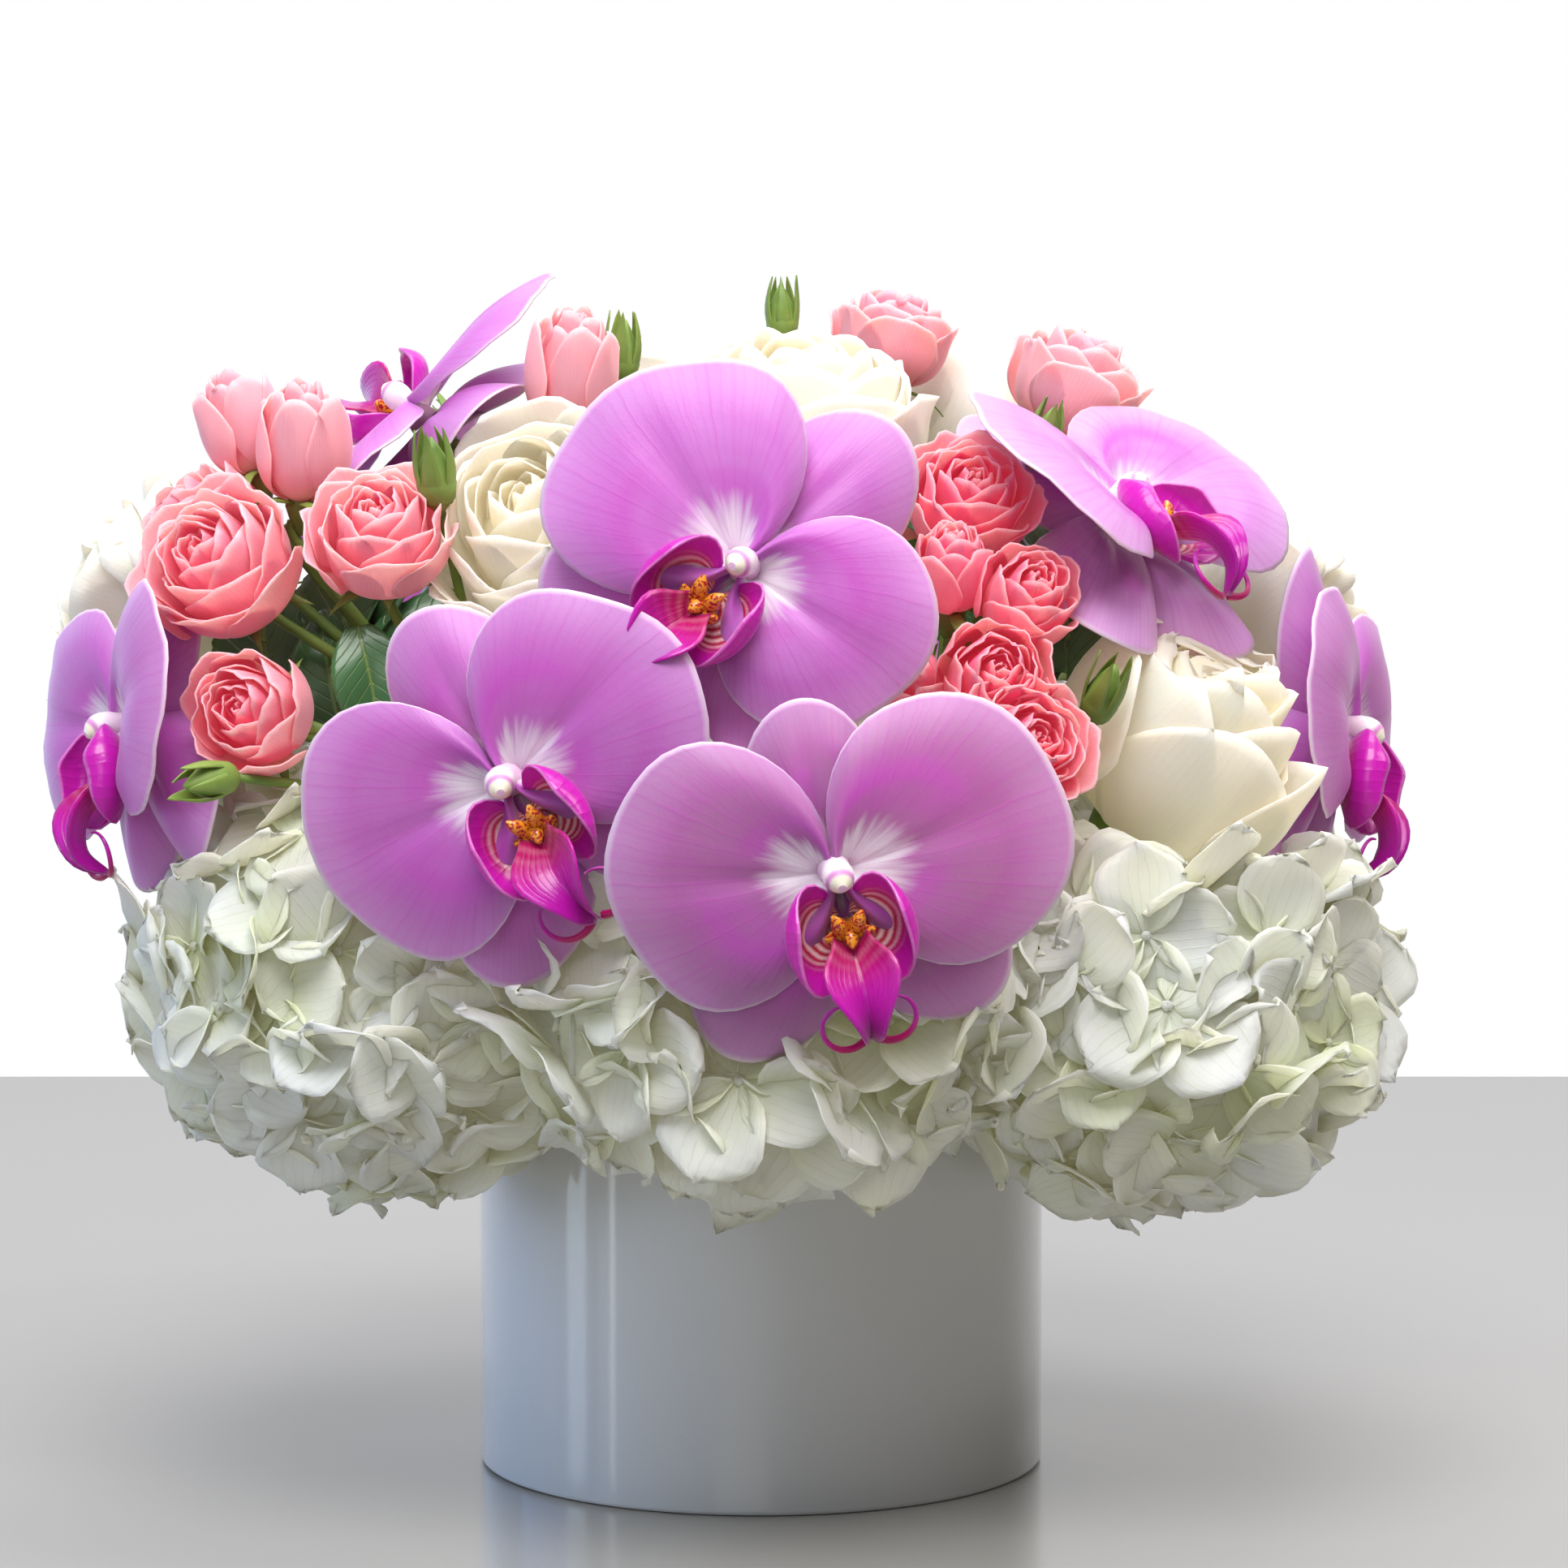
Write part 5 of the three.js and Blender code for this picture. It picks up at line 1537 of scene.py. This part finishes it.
# at and size: metres. power: watts. spread: degrees. only: the one piece that it lights. but: the one piece
# that it doesn't light. The strip and the edge draw the two light lines down the glaze, and the windows give
# the blue side.
Lamp = namedtuple("Lamp", "name at size power tone spread only but", defaults=(180, None, None))
LAMPS = [
    Lamp("Key", (-0.05, -0.8, 1.35), (0.9, 0.7), 22.0, (1.0, 0.98, 0.95), but="vase_glazed"),
    Lamp("Top", (0.1, 0.25, 1.5), (1.0, 0.8), 13.5, (1.0, 1.0, 1.0)),
    Lamp("Right", (0.95, -0.45, 1.1), (0.5, 0.5), 6.0, (1.0, 0.93, 0.84), but="vase_glazed"),
    Lamp("Front", (-0.2, -1.6, 0.6), (0.6, 0.5), 2.4, (1.0, 0.95, 0.88), but="vase_glazed"),
    Lamp("Left window", (-1.0, 0.84, 0.35), (1.2, 0.9), 2.8, (0.24, 0.52, 1.0), but="table_top"),
    Lamp("Vase window", (-1.1, 0.1, 0.35), (0.6, 0.7), 3.4, (0.18, 0.42, 1.0), only="vase_glazed"),
    Lamp("Left strip", (-1.15, -0.26, 0.16), (0.2, 0.3), 0.10, (0.70, 0.85, 1.0), 50),
    Lamp("Left edge", (-1.0, -0.58, 0.16), (0.045, 0.3), 0.032, (0.9, 0.95, 1.0), 50),
    Lamp("Vase front", (-0.8, -1.0, 0.62), (0.5, 0.4), 0.7, (1.0, 0.93, 0.86), only="vase_glazed"),
]


class CENTREPIECE_OT_stage(bpy.types.Operator):
    """Sets the table top, the lights and the camera"""

    bl_idname = "centrepiece.stage"
    bl_label = "Stage"

    def execute(self, context):
        look = context.scene.centrepiece_stage
        self.table(look)
        self.world(context.scene)
        for lamp in LAMPS:
            self.light(lamp)
        camera = bpy.data.cameras.new("Camera")
        camera.sensor_width = 36.0
        camera.lens = look.lens
        camera.clip_start = 0.05
        held = linked("Camera", camera)
        held.location = CAMERA_AT
        held.rotation_euler = (math.radians(90 - CAMERA_FALL), 0, 0)
        context.scene.camera = held
        context.scene.view_settings.view_transform = "Standard"
        return {"FINISHED"}

    def table(self, look):
        """A pale, slightly glossy square table top with rounded corners."""
        swing = np.radians(np.linspace(0, 90, 13))
        corners = []
        for quarter, sides in enumerate([(1, 1), (-1, 1), (-1, -1), (1, -1)]):
            way = swing + quarter * math.pi / 2
            middle = np.array(sides) * (TABLE_HALF - TABLE_CORNER)
            corners.append(middle + TABLE_CORNER * np.stack([np.cos(way), np.sin(way)], axis=-1))
        ring = np.concatenate(corners)
        levels = [(1, -14), (1, -1), (0.9988, -0.1)]
        pile = Pile()
        pile.body(np.array([np.column_stack([ring * share, np.full(len(ring), z)]) for share, z in levels]))
        finish = Finish("table_top", Specular_IOR_Level=0.4)
        finish.set("Base Color", look.floor)
        finish.set("Roughness", finish.noise(finish.place(), 5.0) * 0.04 + 0.16)
        pile.build("table_top", [finish.material], shade_smooth=False)

    def world(self, scene):
        """A bright wall behind and a dim room in front. The camera itself sees plain white."""
        world = bpy.data.worlds.new("Studio")
        world.use_nodes = True
        scene.world = world
        sky = Graph(world.node_tree)
        way = sky.node("ShaderNodeTexCoord", output="Generated")
        side = sky.node("ShaderNodeSeparateXYZ", inputs={0: way})
        room = sky.blend(side.ramp(-0.8, 0.6), ROOM_LEFT, ROOM_RIGHT)
        lit = sky.blend(side.other(1).ramp(0.35, 0.85), room, WALL)
        seen = sky.node("ShaderNodeLightPath", output="Is Camera Ray")
        sky.put(sky.nodes["Background"].inputs["Color"], sky.blend(seen, lit, (1.0, 1.0, 1.0)))

    def light(self, lamp):
        """A soft lamp that looks at the flowers and that the camera doesn't see."""
        light = bpy.data.lights.new(lamp.name, "AREA")
        light.shape = "RECTANGLE"
        light.size, light.size_y = lamp.size
        light.energy = lamp.power
        light.color = lamp.tone
        light.spread = math.radians(lamp.spread)
        held = linked(lamp.name, light)
        held.location = lamp.at
        held.rotation_euler = (LAMPS_LOOK_AT - held.location).to_track_quat("-Z", "Y").to_euler()
        held.visible_camera = False
        if lamp.only or lamp.but:
            lit = bpy.data.collections.new(f"{lamp.name} receivers")
            lit.objects.link(bpy.data.objects[lamp.only or lamp.but])
            lit.collection_objects[0].light_linking.link_state = "INCLUDE" if lamp.only else "EXCLUDE"
            held.light_linking.receiver_collection = lit


# ------------------------------------------------------------------ the add-on
STEPS = [
    CENTREPIECE_OT_vase,
    CENTREPIECE_OT_foam,
    CENTREPIECE_OT_hydrangeas,
    CENTREPIECE_OT_orchid_spikes,
    CENTREPIECE_OT_orchid_tepals,
    CENTREPIECE_OT_orchid_lips,
    CENTREPIECE_OT_white_roses,
    CENTREPIECE_OT_pink_roses,
    CENTREPIECE_OT_rose_greens,
    CENTREPIECE_OT_foliage,
    CENTREPIECE_OT_stage,
]


class CENTREPIECE_PT_panel(bpy.types.Panel):
    """Lists the centrepiece's settings and steps"""

    bl_idname = "CENTREPIECE_PT_panel"
    bl_label = "Floral Centrepiece"
    bl_space_type = "VIEW_3D"
    bl_region_type = "UI"
    bl_category = "Centrepiece"

    def draw(self, context):
        for settings in SETTINGS:
            group = getattr(context.scene, settings)
            box = self.layout.box()
            for name in group.__annotations__:
                box.prop(group, name)
        for step in STEPS:
            self.layout.operator(step.bl_idname)


def register():
    for group in SETTINGS.values():
        bpy.utils.register_class(group)
    for name, group in SETTINGS.items():
        setattr(bpy.types.Scene, name, bpy.props.PointerProperty(type=group))
    for step in STEPS:
        bpy.utils.register_class(step)
    bpy.utils.register_class(CENTREPIECE_PT_panel)


def unregister():
    bpy.utils.unregister_class(CENTREPIECE_PT_panel)
    for step in reversed(STEPS):
        bpy.utils.unregister_class(step)
    for name, group in reversed(SETTINGS.items()):
        delattr(bpy.types.Scene, name)
        bpy.utils.unregister_class(group)


def main():
    register()
    for step in STEPS:
        family, name = step.bl_idname.split(".")
        getattr(getattr(bpy.ops, family), name)()
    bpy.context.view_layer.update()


if __name__ == "__main__":
    main()
